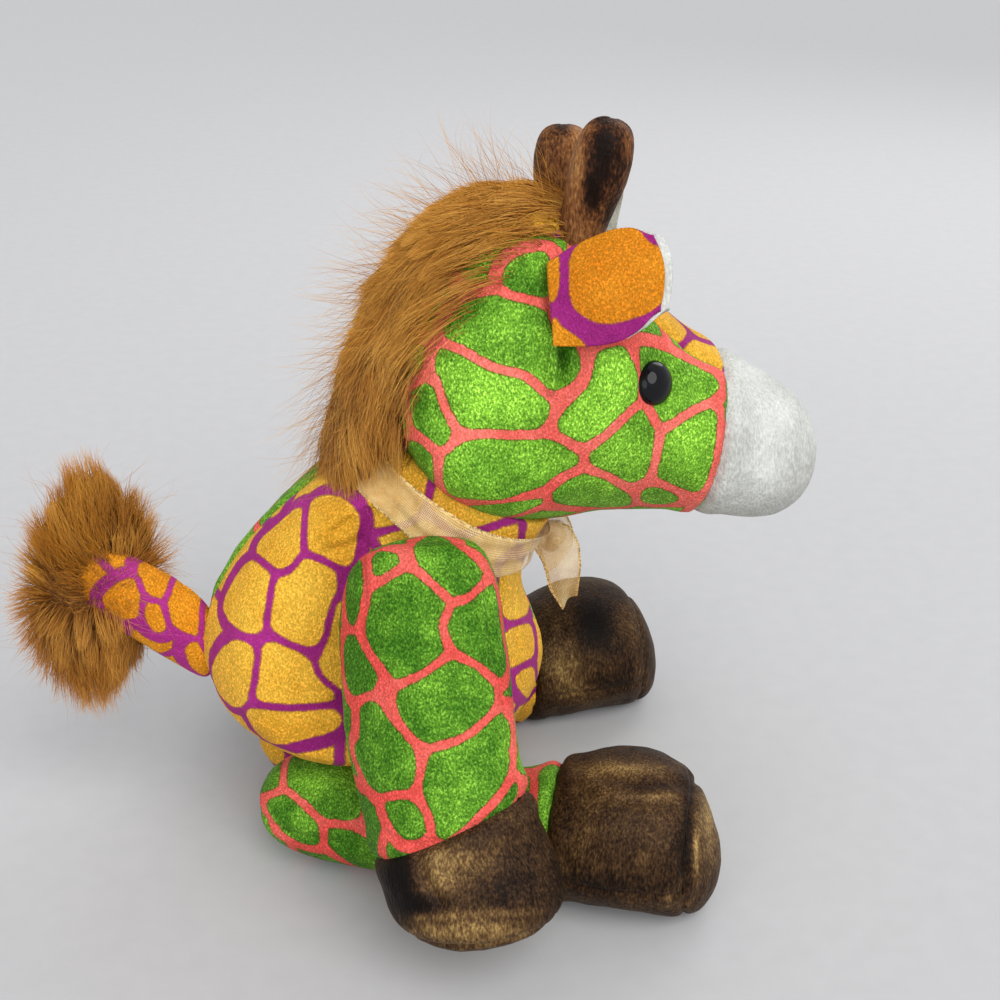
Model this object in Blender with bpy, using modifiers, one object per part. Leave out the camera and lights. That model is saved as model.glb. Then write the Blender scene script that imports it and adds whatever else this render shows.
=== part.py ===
"""A sitting plush giraffe: velour skins over soft filling, hooves, horns, ears, a fur mane and a neck ribbon.

Metres, +Z up. The toy faces +X, its right side is at -Y, and it sits on the plane Z = 0.
Places are world coordinates. Tables named shares hold fractions of the named lengths beside them.
"""

import math

import bmesh
import bpy
from mathutils import Matrix, Vector
from mathutils.bvhtree import BVHTree

# Cloth and clearances
SKIN = 0.0010
CLEARANCE = 0.0003
FILLING_GAP = 0.0010
SEAM_GAP = 0.0005
MOVING_GAP = 0.0006
FLOOR_SINK = 0.0005
OVERRUN = 0.0300

# Cages
BODY_SIDES = 10
LIMB_SIDES = 8
TURNED_STEPS = 12
DOME_STEPS = 4
MERGE_DISTANCE = 0.00001
MILLIMETRES = 1000
SMOOTHING = 1
FILLING_FACES_SHARE = 0.5
BODY_FILLING_FACES_SHARE = 0.95

# Neck seam: the plane that parts head from body, and the axis that the head turns on
NECK_X = 0.0075
NECK_Z = 0.0860
NECK_TILT = math.radians(31.0)
NECK_SEAM_RISE = 0.0050
NECK_AXIS = Vector((math.sin(NECK_TILT), 0, math.cos(NECK_TILT)))
NECK_CENTRE = Vector((NECK_X, 0, NECK_Z))
NECK_SEAM = NECK_CENTRE + NECK_AXIS * NECK_SEAM_RISE

# Body: ring centre along the body, ring tilt towards the neck's, half depth, half width
BODY_SEAT_X = -0.0090
BODY_SEAT_Z = 0.0285
BODY_HEIGHT = NECK_Z - BODY_SEAT_Z
BODY_DEPTH = 0.0740
BODY_WIDTH = 0.0640
BODY_LEAN = NECK_X - BODY_SEAT_X
BODY_RING_SHARES = (
    (-0.06, -0.06, 0.00, 0.30, 0.28),
    (0.03, -0.08, 0.00, 0.45, 0.43),
    (0.20, -0.12, 0.03, 0.525, 0.515),
    (0.40, -0.14, 0.14, 0.520, 0.51),
    (0.60, -0.02, 0.42, 0.455, 0.475),
    (0.80, 0.36, 0.78, 0.370, 0.430),
    (0.99, 0.92, 1.00, 0.295, 0.380),
    (1.20, 1.70, 1.00, 0.260, 0.345),
)
SEAT_Z = 0.0257
POUCH_TOP_Z = 0.0440
BODY_TIP_SHARE = 0.06

# Head: share of the length, then of the height for the ring's middle and half height, then of the width
HEAD_REAR_X = -0.0070
HEAD_LENGTH = 0.0963
HEAD_BASE_Z = 0.0745
HEAD_HEIGHT = 0.0755
HEAD_WIDTH = 0.0500
HEAD_RING_SHARES = (
    (0.030, 0.497, 0.170, 0.26),
    (0.110, 0.526, 0.315, 0.40),
    (0.220, 0.540, 0.408, 0.49),
    (0.345, 0.540, 0.456, 0.52),
    (0.470, 0.487, 0.412, 0.49),
    (0.590, 0.378, 0.312, 0.42),
    (0.690, 0.308, 0.262, 0.37),
    (0.870, 0.224, 0.232, 0.325),
    (0.945, 0.205, 0.172, 0.240),
    (0.988, 0.198, 0.090, 0.120),
)
MUZZLE_SEAM_ALONG_SHARE = 0.7269
MUZZLE_SEAM_RISE_SHARE = 0.2715
MUZZLE_SEAM_X = HEAD_REAR_X + HEAD_LENGTH * MUZZLE_SEAM_ALONG_SHARE
MUZZLE_SEAM_Z = HEAD_BASE_Z + HEAD_HEIGHT * MUZZLE_SEAM_RISE_SHARE
MUZZLE_SEAM_TILT = math.radians(9.0)
FOREHEAD_HALF_WIDTH = 0.0115
CHIN_HALF_WIDTH = 0.0050
GUSSET_SPLIT_X = 0.0020

# Eyes
EYE_ALONG_SHARE = 0.5711
EYE_RISE_SHARE = 0.5364
EYE_X = HEAD_REAR_X + HEAD_LENGTH * EYE_ALONG_SHARE
EYE_Z = HEAD_BASE_Z + HEAD_HEIGHT * EYE_RISE_SHARE
EYE_RADIUS = 0.0047
EYE_DOME = 0.0036
SHANK_RADIUS = 0.0012
SHANK_LENGTH = 0.0080
WASHER_RADIUS = 0.0055
WASHER_THICKNESS = 0.0010
WASHER_DEPTH = 0.0022

# Horns
HORN_ALONG_SHARE = 0.4071
HORN_ASIDE_SHARE = 0.17
HORN_RISE_SHARE = 0.8212
HORN_X = HEAD_REAR_X + HEAD_LENGTH * HORN_ALONG_SHARE
HORN_Y = HEAD_WIDTH * HORN_ASIDE_SHARE
HORN_Z = HEAD_BASE_Z + HEAD_HEIGHT * HORN_RISE_SHARE
HORN_LENGTH = 0.0325
LEFT_HORN_LENGTH = 0.0260
HORN_WIDTH = 0.0118
HORN_LEAN = math.radians(14.0)
LEFT_HORN_LEAN = math.radians(3.0)
HORN_SPLAY = math.radians(4.0)
HORN_RING_SHARES = (
    (0.02, 0.34),
    (0.35, 0.41),
    (0.66, 0.51),
    (0.92, 0.40),
)

# Ears
EAR_ALONG_SHARE = 0.3271
EAR_ASIDE_SHARE = 0.468
EAR_RISE_SHARE = 0.7881
EAR_X = HEAD_REAR_X + HEAD_LENGTH * EAR_ALONG_SHARE
EAR_Y = HEAD_WIDTH * EAR_ASIDE_SHARE
EAR_Z = HEAD_BASE_Z + HEAD_HEIGHT * EAR_RISE_SHARE
EAR_LENGTH = 0.0230
EAR_WIDTH = 0.0215
EAR_CUP = 0.0042
EAR_THICKNESS = 0.0012
EAR_LINING_INSET = 0.0020
EAR_TILT = math.radians(30.0)
EAR_TURN = math.radians(14.0)
EAR_RISE = math.radians(12.0)
EAR_ACROSS = 4
EAR_ROOT_CUP_SHARE = 0.4
EAR_WIDTH_SHARES = (0.62, 0.88, 1.00, 0.98, 0.78, 0.36)

# Mane
MANE_WIDTH = 0.0300
MANE_DEPTH = 0.0160
MANE_TURN_SHARE = 0.385
MANE_TURN_RADIUS = BODY_DEPTH * MANE_TURN_SHARE
MANE_PATH_SHARES = (
    (0.360, 0.975, 0.30, 0.40),
    (0.220, 0.970, 0.70, 0.75),
    (0.120, 0.835, 0.95, 0.95),
    (0.040, 0.660, 1.00, 1.02),
    (-0.022, 0.480, 1.00, 1.10),
    (-0.082, 0.290, 0.85, 0.95),
)
MANE_START_SHARE = 0.25
MANE_END_SHARE = 0.50

# Arms: the shoulder is where the arm's flat root meets the body
SHOULDER_X = 0.0050
SHOULDER_ASIDE_SHARE = 0.3906
SHOULDER_Y = BODY_WIDTH * SHOULDER_ASIDE_SHARE
SHOULDER_Z = 0.0815
SHOULDER_TURN = math.radians(25.0)
ARM_WIDTH = 0.0350
ARM_DEPTH = 0.0255
ARM_DROP = 0.0698
PRESS_RADIUS = 0.0196
PRESS_SLOPE_SHARE = 0.40
PRESS_START_SHARE = 0.72
PRESS_END_SHARE = 1.40
PRESS_START = ARM_WIDTH * PRESS_START_SHARE
PRESS_END = ARM_WIDTH * PRESS_END_SHARE
ARM_SPREAD = 0.0232
ARM_SWING = 0.0060
LEFT_ARM_SWING = -0.0193
ARM_RING_SHARES = (
    (-0.06, -0.12, 0.05, 0.35, 0.74),
    (0.11, -0.12, 0.09, 0.515, 1.04),
    (0.40, 0.30, 0.13, 0.530, 0.99),
    (0.62, 0.56, 0.115, 0.490, 1.08),
    (0.80, 0.78, 0, 0.540, 1.34),
    (0.94, 0.94, -0.03, 0.530, 1.30),
    (1.005, 1.00, -0.03, 0.36, 0.86),
)
ARM_ROOT_SHARE = 0.30
ARM_TIP_SHARE = 0.045
WRIST_SHARE = 0.680
ARM_SOLE_SHARE = 0.965
WRIST_SLANT = math.radians(20.0)

# Legs: hip centre to hoof, with a bow to the side
HIP_X = -0.0265
HIP_Y = 0.0150
LEG_RADIUS = 0.0136
RIGHT_LEG_REACH = 0.0920
RIGHT_LEG_SPLAY = math.radians(-18.5)
RIGHT_LEG_BOW = 0.0
LEFT_LEG_REACH = 0.0950
LEFT_LEG_SPLAY = math.radians(17.0)
LEFT_LEG_BOW = 0.0060
LEG_RING_SHARES = (
    (-0.115, 0.66),
    (0.02, 1.02),
    (0.42, 0.93),
    (0.600, 1.04),
    (0.72, 1.33),
    (0.90, 1.30),
    (0.975, 0.84),
)
LEG_REAR_SHARE = 1.02
LEG_TIP_SHARE = 0.030
ANKLE_SHARE = 0.575
HEADING_STEP_SHARE = 0.01
LEG_SOLE_SHARE = 0.935

# Tail
TAIL_BEHIND_SHARE = 0.520
TAIL_STAND_OFF = 0.0052
TAIL_RISE_SHARE = 0.4087
TAIL_X = BODY_SEAT_X - BODY_DEPTH * TAIL_BEHIND_SHARE - TAIL_STAND_OFF
TAIL_Z = BODY_SEAT_Z + BODY_HEIGHT * TAIL_RISE_SHARE
TAIL_LENGTH = 0.0240
TAIL_RISE = math.radians(41.0)
TAIL_HEIGHT = 0.0195
TAIL_THICKNESS = 0.0080
TAIL_RING_SHARES = (
    (-0.08, 0.38, 0.32),
    (0.05, 0.50, 0.50),
    (0.50, 0.46, 0.50),
    (1.00, 0.38, 0.45),
    (1.15, 0.24, 0.30),
)
TAIL_TIP_SHARE = 1.20
TUFT_X = -0.0735
TUFT_Y = 0.0070
TUFT_Z = 0.0620
TUFT_HEIGHT = 0.0600
TUFT_DEPTH = 0.0305
TUFT_WIDTH = 0.0240
TUFT_RING_SHARES = (
    (-0.46, -0.08, 0.20),
    (-0.26, -0.03, 0.46),
    (0.00, 0.00, 0.54),
    (0.24, 0.03, 0.42),
    (0.44, 0.10, 0.14),
)
TUFT_TIP_SHARE = 0.06

# Ribbon
RIBBON_WIDTH = 0.0100
RIBBON_THICKNESS = 0.0006
RIBBON_GAP = 0.0008
BAND_LOW = -0.0060
BAND_HIGH = 0.0040
KNOT_HEIGHT = 0.0080
KNOT_DEPTH = 0.0060
KNOT_WIDTH = 0.0090
NECK_FRONT_SHARE = 0.290
KNOT_RING_SHARES = ((-0.40, 0.34), (0.00, 0.54), (0.40, 0.34))
RIGHT_END_LENGTH = 0.0230
LEFT_END_LENGTH = 0.0190
RIBBON_END_BULGE = 0.0050
RIBBON_END_SPREAD = 0.0030
RIBBON_END_STEPS = 6
RIBBON_END_TURN = math.radians(50.0)
RIBBON_PINCH_SHARE = 0.35

# Name, colour, roughness and sheen of each material
FABRICS = {
    "green_velour": ((0.16, 0.42, 0.04, 1), 0.7),
    "yellow_velour": ((0.82, 0.44, 0.05, 1), 0.7),
    "brown_velvet": ((0.13, 0.07, 0.03, 1), 0.6),
    "white_velvet": ((0.80, 0.79, 0.77, 1), 0.7),
    "golden_fur": ((0.50, 0.28, 0.08, 1), 0.8),
    "filling": ((0.85, 0.85, 0.83, 1), 0.9),
    "black_plastic": ((0.01, 0.01, 0.01, 1), 0.1),
    "white_plastic": ((0.80, 0.80, 0.78, 1), 0.4),
    "ribbon": ((0.85, 0.66, 0.45, 1), 0.4),
}

for old in list(bpy.data.objects):
    bpy.data.objects.remove(old, do_unlink=True)

toy = bpy.data.collections.new("plush_giraffe")
cutters = bpy.data.collections.new("cutters")
cutters.hide_render = True
bpy.context.scene.collection.children.link(toy)
bpy.context.scene.collection.children.link(cutters)


def make_material(name, colour, roughness):
    material = bpy.data.materials.new(name)
    material.use_nodes = True
    shader = material.node_tree.nodes["Principled BSDF"]
    shader.inputs["Base Color"].default_value = colour
    shader.inputs["Roughness"].default_value = roughness
    shader.inputs["Metallic"].default_value = 0
    return material


MATERIALS = {name: make_material(name, *look) for name, look in FABRICS.items()}


# Objects

def add_object(name, mesh, material, joint=None):
    """A piece of the toy. One that moves hangs from the empty on its joint's axis."""
    piece = bpy.data.objects.new(name, mesh)
    mesh.materials.clear()
    mesh.materials.append(MATERIALS[material])
    mesh.shade_smooth()
    toy.objects.link(piece)
    if joint is not None:
        piece.parent = joint
        piece.matrix_parent_inverse = joint.matrix_world.inverted()
    return piece


def add_joint(name, place, axis):
    """An empty at a joint, its own Z along the axis."""
    joint = bpy.data.objects.new(name, None)
    turn = Vector((0, 0, 1)).rotation_difference(axis)
    joint.matrix_world = Matrix.Translation(place) @ turn.to_matrix().to_4x4()
    toy.objects.link(joint)
    bpy.context.view_layer.update()
    return joint


def add_cutter(name, mesh):
    cutter = bpy.data.objects.new(name, mesh)
    cutter.hide_render = True
    cutter.display_type = "WIRE"
    cutters.objects.link(cutter)
    return cutter


def cut(piece, cutter):
    """Takes the cutter's space out of the piece."""
    modifier = piece.modifiers.new("cut " + cutter.name, "BOOLEAN")
    modifier.operation = "DIFFERENCE"
    modifier.object = cutter


def mesh_from(bm, name):
    mesh = bpy.data.meshes.new(name)
    bm.to_mesh(mesh)
    bm.free()
    return mesh


# Lofted forms

def fullness(sides):
    """How much larger a cage ring is than the smooth ring that it gives."""
    return 6 / (4 + 2 * math.cos(math.tau / sides))


def smooth_form(rings, start_tip, end_tip, sides, levels=SMOOTHING):
    """A closed soft form: a coarse cage through rings and two tips, subdivided.

    A ring is its centre and the half widths, as vectors, across it and up it.
    """
    bm = bmesh.new()
    swell = fullness(sides)
    loops = []
    for centre, across, up in rings:
        loop = []
        for step in range(sides):
            angle = math.tau * (step + 0.5) / sides
            place = centre + (across * math.cos(angle) + up * math.sin(angle)) * swell
            loop.append(bm.verts.new(place))
        loops.append(loop)
    for near, far in zip(loops, loops[1:]):
        for step in range(sides):
            after = (step + 1) % sides
            bm.faces.new((near[step], near[after], far[after], far[step]))
    for tip, loop in ((start_tip, loops[0]), (end_tip, loops[-1])):
        point = bm.verts.new(tip)
        for step in range(sides):
            bm.faces.new((loop[step], loop[(step + 1) % sides], point))
    bmesh.ops.recalc_face_normals(bm, faces=bm.faces[:])
    cage = bpy.data.objects.new("cage", mesh_from(bm, "cage"))
    bpy.context.scene.collection.objects.link(cage)
    subdivision = cage.modifiers.new("soft", "SUBSURF")
    subdivision.levels = levels
    subdivision.render_levels = levels
    graph = bpy.context.evaluated_depsgraph_get()
    mesh = bpy.data.meshes.new_from_object(cage.evaluated_get(graph))
    bpy.data.objects.remove(cage, do_unlink=True)
    return mesh


def grown(mesh, distance):
    """A copy whose surface lies further out, or further in where the distance is negative."""
    bm = bmesh.new()
    bm.from_mesh(mesh)
    bm.normal_update()
    moves = [vertex.normal * distance for vertex in bm.verts]
    for vertex, move in zip(bm.verts, moves):
        vertex.co += move
    return mesh_from(bm, mesh.name)


def trimmed(name, form, planes):
    """The part of a closed form inside the planes, each cut closed flat on its plane.

    It is cut in millimetres, which suits the tolerance of the fill.
    """
    bm = bmesh.new()
    bm.from_mesh(form)
    bmesh.ops.scale(bm, vec=Vector((1, 1, 1)) * MILLIMETRES, verts=bm.verts[:])
    for place, outward in planes:
        bmesh.ops.bisect_plane(
            bm,
            geom=bm.verts[:] + bm.edges[:] + bm.faces[:],
            dist=MERGE_DISTANCE * MILLIMETRES,
            plane_co=place * MILLIMETRES,
            plane_no=outward,
            clear_outer=True,
        )
        rim = [edge for edge in bm.edges if edge.is_boundary]
        bmesh.ops.triangle_fill(bm, edges=rim, use_beauty=True, normal=outward)
    bmesh.ops.scale(bm, vec=Vector((1, 1, 1)) / MILLIMETRES, verts=bm.verts[:])
    bmesh.ops.recalc_face_normals(bm, faces=bm.faces[:])
    if bm.calc_volume(signed=True) < 0:
        bmesh.ops.reverse_faces(bm, faces=bm.faces[:])
    return mesh_from(bm, name)


def set_back(planes, distance):
    """The planes moved inward."""
    return [(place - outward * distance, outward) for place, outward in planes]


def shell_of(form, flats, thickness):
    """The closed form as hollow cloth, its thickness inward, with flat faces on the planes."""
    inner = trimmed("inner", grown(form, -thickness), set_back(flats, thickness))
    bm = bmesh.new()
    bm.from_mesh(inner)
    bmesh.ops.reverse_faces(bm, faces=bm.faces[:])
    bm.from_mesh(trimmed("outer", form, flats))
    return mesh_from(bm, "shell")


def add_filling(name, form, flats, planes, joint=None, faces_share=FILLING_FACES_SHARE):
    """Soft filling: the form inside its skin, in fewer faces, cut by the planes."""
    cage = bpy.data.objects.new("cage", grown(form, -SKIN - FILLING_GAP))
    bpy.context.scene.collection.objects.link(cage)
    fewer = cage.modifiers.new("fewer faces", "DECIMATE")
    fewer.ratio = faces_share
    graph = bpy.context.evaluated_depsgraph_get()
    core = bpy.data.meshes.new_from_object(cage.evaluated_get(graph))
    bpy.data.objects.remove(cage, do_unlink=True)
    core = trimmed(name, core, set_back(flats, SKIN + FILLING_GAP) + planes)
    return add_object(name, core, "filling", joint)


FLOOR = (Vector((0, 0, 0)), Vector((0, 0, -1)))


def facing_back(plane):
    """The same cut seen from its other side, with a seam's gap between the two."""
    place, outward = plane
    return place + outward * SEAM_GAP, -outward


# Body

def body_form():
    rings = []
    for rise, lean, tilt, depth, width in BODY_RING_SHARES:
        angle = NECK_TILT * tilt
        centre = Vector((BODY_SEAT_X + BODY_LEAN * lean, 0, BODY_SEAT_Z + BODY_HEIGHT * rise))
        across = Vector((math.cos(angle), 0, -math.sin(angle))) * BODY_DEPTH * depth
        rings.append((centre, across, Vector((0, BODY_WIDTH * width, 0))))
    bottom = rings[0][0] - Vector((0, 0, BODY_HEIGHT * BODY_TIP_SHARE))
    top = rings[-1][0] + NECK_AXIS * BODY_HEIGHT * BODY_TIP_SHARE
    form = smooth_form(rings, bottom, top, BODY_SIDES)
    return pressed_by_arm(pressed_by_arm(form, -1, ARM_SWING), 1, LEFT_ARM_SWING)


def pressed_by_arm(form, side, swing):
    """A copy pressed in where one arm lies and swings. It eases back to full behind the arm."""
    place = shoulder_place(side)
    axis = shoulder_axis(side)
    ahead = Vector((math.cos(SHOULDER_TURN), math.sin(SHOULDER_TURN) * side, 0))
    bm = bmesh.new()
    bm.from_mesh(form)
    for vertex in bm.verts:
        step = vertex.co - place
        forward = step.dot(ahead)
        reach = math.hypot(forward, step.z)
        past = step.dot(axis) - max(reach - PRESS_RADIUS, 0) * PRESS_SLOPE_SHARE
        behind = swing * min(max(-step.z / ARM_DROP, 0), 1) - forward
        share = (PRESS_END - behind) / (PRESS_END - PRESS_START)
        if past > 0 and share > 0:
            vertex.co -= axis * past * min(share, 1)
    return mesh_from(bm, form.name)


def shoulder_place(side):
    return Vector((SHOULDER_X, SHOULDER_Y * side, SHOULDER_Z))


def shoulder_axis(side):
    """Out from the body along the shoulder's hinge."""
    return Vector((-math.sin(SHOULDER_TURN), math.cos(SHOULDER_TURN) * side, 0))


def make_body(form):
    flats = [(Vector((0, 0, SEAT_Z)), Vector((0, 0, -1)))]
    skin = shell_of(form, flats, SKIN)
    neck_cut = (NECK_SEAM, NECK_AXIS)
    for side, name, cloth in ((-1, "right", "yellow_velour"), (1, "left", "green_velour")):
        middle = (Vector((0, SEAM_GAP / 2 * side, 0)), Vector((0, -side, 0)))
        panel_name = "body_panel_" + name
        add_object(panel_name, trimmed(panel_name, skin, [neck_cut, middle]), cloth)
    pouch_cut = (Vector((0, 0, POUCH_TOP_Z)), Vector((0, 0, 1)))
    for name, planes in (("body_filling", [neck_cut, facing_back(pouch_cut)]), ("seat_bean_pouch", [pouch_cut])):
        add_filling(name, form, flats, planes, faces_share=BODY_FILLING_FACES_SHARE)


# Head

def head_form():
    rings = []
    for along, middle, half_height, half_width in HEAD_RING_SHARES:
        centre = Vector((HEAD_REAR_X + HEAD_LENGTH * along, 0, HEAD_BASE_Z + HEAD_HEIGHT * middle))
        across = Vector((0, HEAD_WIDTH * half_width, 0))
        rings.append((centre, across, Vector((0, 0, HEAD_HEIGHT * half_height))))
    rear = Vector((HEAD_REAR_X, 0, rings[0][0].z))
    front = Vector((HEAD_REAR_X + HEAD_LENGTH, 0, rings[-1][0].z))
    return smooth_form(rings, rear, front, BODY_SIDES)


def gusset_plane(side):
    """The plane between a side panel and both gussets. Its outward side holds the side panel."""
    top = Vector((0, FOREHEAD_HALF_WIDTH * side, HEAD_BASE_Z + HEAD_HEIGHT))
    bottom = Vector((0, CHIN_HALF_WIDTH * side, HEAD_BASE_Z))
    up = (top - bottom).normalized()
    outward = up.cross(Vector((1, 0, 0))) * side
    if outward.y * side < 0:
        outward = -outward
    return bottom, outward


def make_head(form, joint):
    skin = shell_of(form, [], SKIN)

    def add_panel(name, planes, cloth):
        return add_object(name, trimmed(name, skin, planes), cloth, joint)

    neck_cut = (NECK_SEAM + NECK_AXIS * MOVING_GAP, -NECK_AXIS)
    slope = Vector((math.cos(MUZZLE_SEAM_TILT), 0, -math.sin(MUZZLE_SEAM_TILT)))
    muzzle_cut = (Vector((MUZZLE_SEAM_X, 0, MUZZLE_SEAM_Z)), slope)
    panels = {}
    for side, name in ((-1, "right"), (1, "left")):
        inner = facing_back(gusset_plane(side))
        planes = [neck_cut, muzzle_cut, inner]
        panels[side] = add_panel("head_side_panel_" + name, planes, "green_velour")
    strip = [neck_cut, muzzle_cut, gusset_plane(-1), gusset_plane(1)]
    middle = Vector((GUSSET_SPLIT_X, 0, MUZZLE_SEAM_Z))
    upper = (middle, Vector((0, 0, -1)))
    add_panel("forehead_gusset", strip + [upper], "yellow_velour")
    add_panel("chin_gusset", strip + [facing_back(upper)], "yellow_velour")
    add_panel("muzzle", [facing_back(muzzle_cut)], "white_velvet")
    filling = add_filling("head_filling", form, [], [neck_cut], joint)
    return panels, filling


def turned_solid(name, profile, place, axis):
    """A solid of revolution. The profile runs from top to bottom, as (radius, height) along the axis."""
    mesh = bpy.data.meshes.new(name)
    edges = [(index, index + 1) for index in range(len(profile) - 1)]
    mesh.from_pydata([(radius, 0, height) for radius, height in profile], edges, [])
    lathe = bpy.data.objects.new("lathe", mesh)
    bpy.context.scene.collection.objects.link(lathe)
    screw = lathe.modifiers.new("turn", "SCREW")
    screw.steps = TURNED_STEPS
    screw.render_steps = TURNED_STEPS
    screw.use_merge_vertices = True
    screw.merge_threshold = MERGE_DISTANCE
    graph = bpy.context.evaluated_depsgraph_get()
    solid = bpy.data.meshes.new_from_object(lathe.evaluated_get(graph))
    bpy.data.objects.remove(lathe, do_unlink=True)
    turn = Vector((0, 0, 1)).rotation_difference(axis)
    solid.transform(Matrix.Translation(place) @ turn.to_matrix().to_4x4())
    bm = bmesh.new()
    bm.from_mesh(solid)
    bmesh.ops.recalc_face_normals(bm, faces=bm.faces[:])
    return mesh_from(bm, name)


def eye_seat(form, side):
    """The point of the head's side that carries the eye, and the eye's axis outward."""
    bm = bmesh.new()
    bm.from_mesh(form)
    tree = BVHTree.FromBMesh(bm)
    place, normal, _, _ = tree.ray_cast(Vector((EYE_X, 0, EYE_Z)), Vector((0, side, 0)))
    bm.free()
    return place, normal


def make_eye(name, side, form, panel, filling, joint):
    place, axis = eye_seat(form, side)
    rim = CLEARANCE
    back = -SHANK_LENGTH
    dome = [(0, rim + EYE_DOME)]
    for step in range(1, DOME_STEPS + 1):
        angle = math.pi / 2 * step / DOME_STEPS
        dome.append((EYE_RADIUS * math.sin(angle), rim + EYE_DOME * math.cos(angle)))
    dome += [(SHANK_RADIUS, rim), (SHANK_RADIUS, back), (0, back)]
    add_object("eye_" + name, turned_solid("eye", dome, place, axis), "black_plastic", joint)
    hole = SHANK_RADIUS + CLEARANCE
    face = -WASHER_DEPTH
    foot = face - WASHER_THICKNESS
    washer = [(hole, face), (WASHER_RADIUS, face), (WASHER_RADIUS, foot), (hole, foot), (hole, face)]
    add_object("eye_washer_" + name, turned_solid("washer", washer, place, axis), "white_plastic", joint)
    shaft = [(0, EYE_DOME), (hole, EYE_DOME), (hole, back - CLEARANCE), (0, back - CLEARANCE)]
    shaft_cutter = add_cutter("shank_hole_" + name, turned_solid("shaft", shaft, place, axis))
    wide = WASHER_RADIUS + CLEARANCE
    pocket = [(0, EYE_DOME), (wide, EYE_DOME), (wide, foot - CLEARANCE), (0, foot - CLEARANCE)]
    pocket_cutter = add_cutter("washer_pocket_" + name, turned_solid("pocket", pocket, place, axis))
    cut(panel, shaft_cutter)
    cut(filling, pocket_cutter)
    cut(filling, shaft_cutter)


def make_horn(name, side, head_cutter, joint):
    lean = LEFT_HORN_LEAN if side > 0 else HORN_LEAN
    length = LEFT_HORN_LENGTH if side > 0 else HORN_LENGTH
    axis = Vector((math.sin(lean), math.sin(HORN_SPLAY) * side, math.cos(lean))).normalized()
    base = Vector((HORN_X, HORN_Y * side, HORN_Z))
    across = axis.cross(Vector((0, 1, 0))).normalized()
    through = across.cross(axis).normalized()
    rings = []
    for along, width in HORN_RING_SHARES:
        reach = HORN_WIDTH * width
        rings.append((base + axis * length * along, across * reach, through * reach))
    form = smooth_form(rings, base - axis * CLEARANCE, base + axis * length, LIMB_SIDES)
    horn = add_object("horn_" + name, form, "brown_velvet", joint)
    cut(horn, head_cutter)


def ear_frame(side):
    """The ear's root, its hinge line upward, its way forward and its way out from the head."""
    root = Vector((EAR_X, EAR_Y * side, EAR_Z))
    up = Vector((0, -math.sin(EAR_TILT) * side, math.cos(EAR_TILT)))
    forward = Vector((math.cos(EAR_TURN), math.sin(EAR_TURN) * side, 0))
    forward = (forward - up * forward.dot(up)).normalized()
    out = up.cross(forward) * side
    rise = Matrix.Rotation(-EAR_RISE * side, 3, out)
    return root, up, rise @ forward, out


def ear_sheet(side, inset):
    """The cupped leaf of the ear, set in towards the head by inset."""
    root, up, forward, out = ear_frame(side)
    bm = bmesh.new()
    rows = []
    for along, width in enumerate(EAR_WIDTH_SHARES):
        share = along / (len(EAR_WIDTH_SHARES) - 1)
        half = EAR_WIDTH / 2 * width
        depth = EAR_CUP * (EAR_ROOT_CUP_SHARE + (1 - EAR_ROOT_CUP_SHARE) * math.sin(math.pi * share))
        row = []
        for across in range(EAR_ACROSS + 1):
            way = 2 * across / EAR_ACROSS - 1
            cup = out * (depth * (1 - way * way) - inset)
            place = root + forward * (EAR_LENGTH * share + MOVING_GAP) + up * half * way + cup
            row.append(bm.verts.new(place))
        rows.append(row)
    for near, far in zip(rows, rows[1:]):
        for across in range(EAR_ACROSS):
            bm.faces.new((near[across], near[across + 1], far[across + 1], far[across]))
    bmesh.ops.recalc_face_normals(bm, faces=bm.faces[:])
    bm.normal_update()
    if sum((face.normal for face in bm.faces), Vector()).dot(out) < 0:
        bmesh.ops.reverse_faces(bm, faces=bm.faces[:])
    return bm


def make_ear(name, side, joint):
    for piece_name, inset, material in (
        ("ear_outer_" + name, 0, "yellow_velour"),
        ("ear_lining_" + name, EAR_LINING_INSET, "white_velvet"),
    ):
        mesh = mesh_from(ear_sheet(side, inset), piece_name)
        piece = add_object(piece_name, mesh, material, joint)
        cloth = piece.modifiers.new("cloth", "SOLIDIFY")
        cloth.thickness = EAR_THICKNESS
        cloth.offset = -1


def make_mane(head_cutter, joint):
    centres = []
    for along, rise, _, _ in MANE_PATH_SHARES:
        centres.append(Vector((HEAD_REAR_X + HEAD_LENGTH * along, 0, HEAD_BASE_Z + HEAD_HEIGHT * rise)))
    rings = []
    last = len(centres) - 1
    for index, (_, _, width, depth) in enumerate(MANE_PATH_SHARES):
        ahead = (centres[min(index + 1, last)] - centres[max(index - 1, 0)]).normalized()
        out = ahead.cross(Vector((0, 1, 0)))
        across = Vector((0, MANE_WIDTH / 2 * width, 0))
        rings.append((centres[index], across, out * MANE_DEPTH / 2 * depth))
    start = centres[0] + (centres[0] - centres[1]) * MANE_START_SHARE
    end = centres[-1] + (centres[-1] - centres[-2]) * MANE_END_SHARE
    mane = add_object("mane", smooth_form(rings, start, end, LIMB_SIDES), "golden_fur", joint)
    cut(mane, head_cutter)
    top = NECK_SEAM_RISE + MOVING_GAP
    profile = [(0, top), (MANE_TURN_RADIUS, top), (MANE_TURN_RADIUS, -OVERRUN), (0, -OVERRUN)]
    cut(mane, add_cutter("mane_turn", turned_solid("mane_turn", profile, NECK_CENTRE, NECK_AXIS)))


# Limbs

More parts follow.
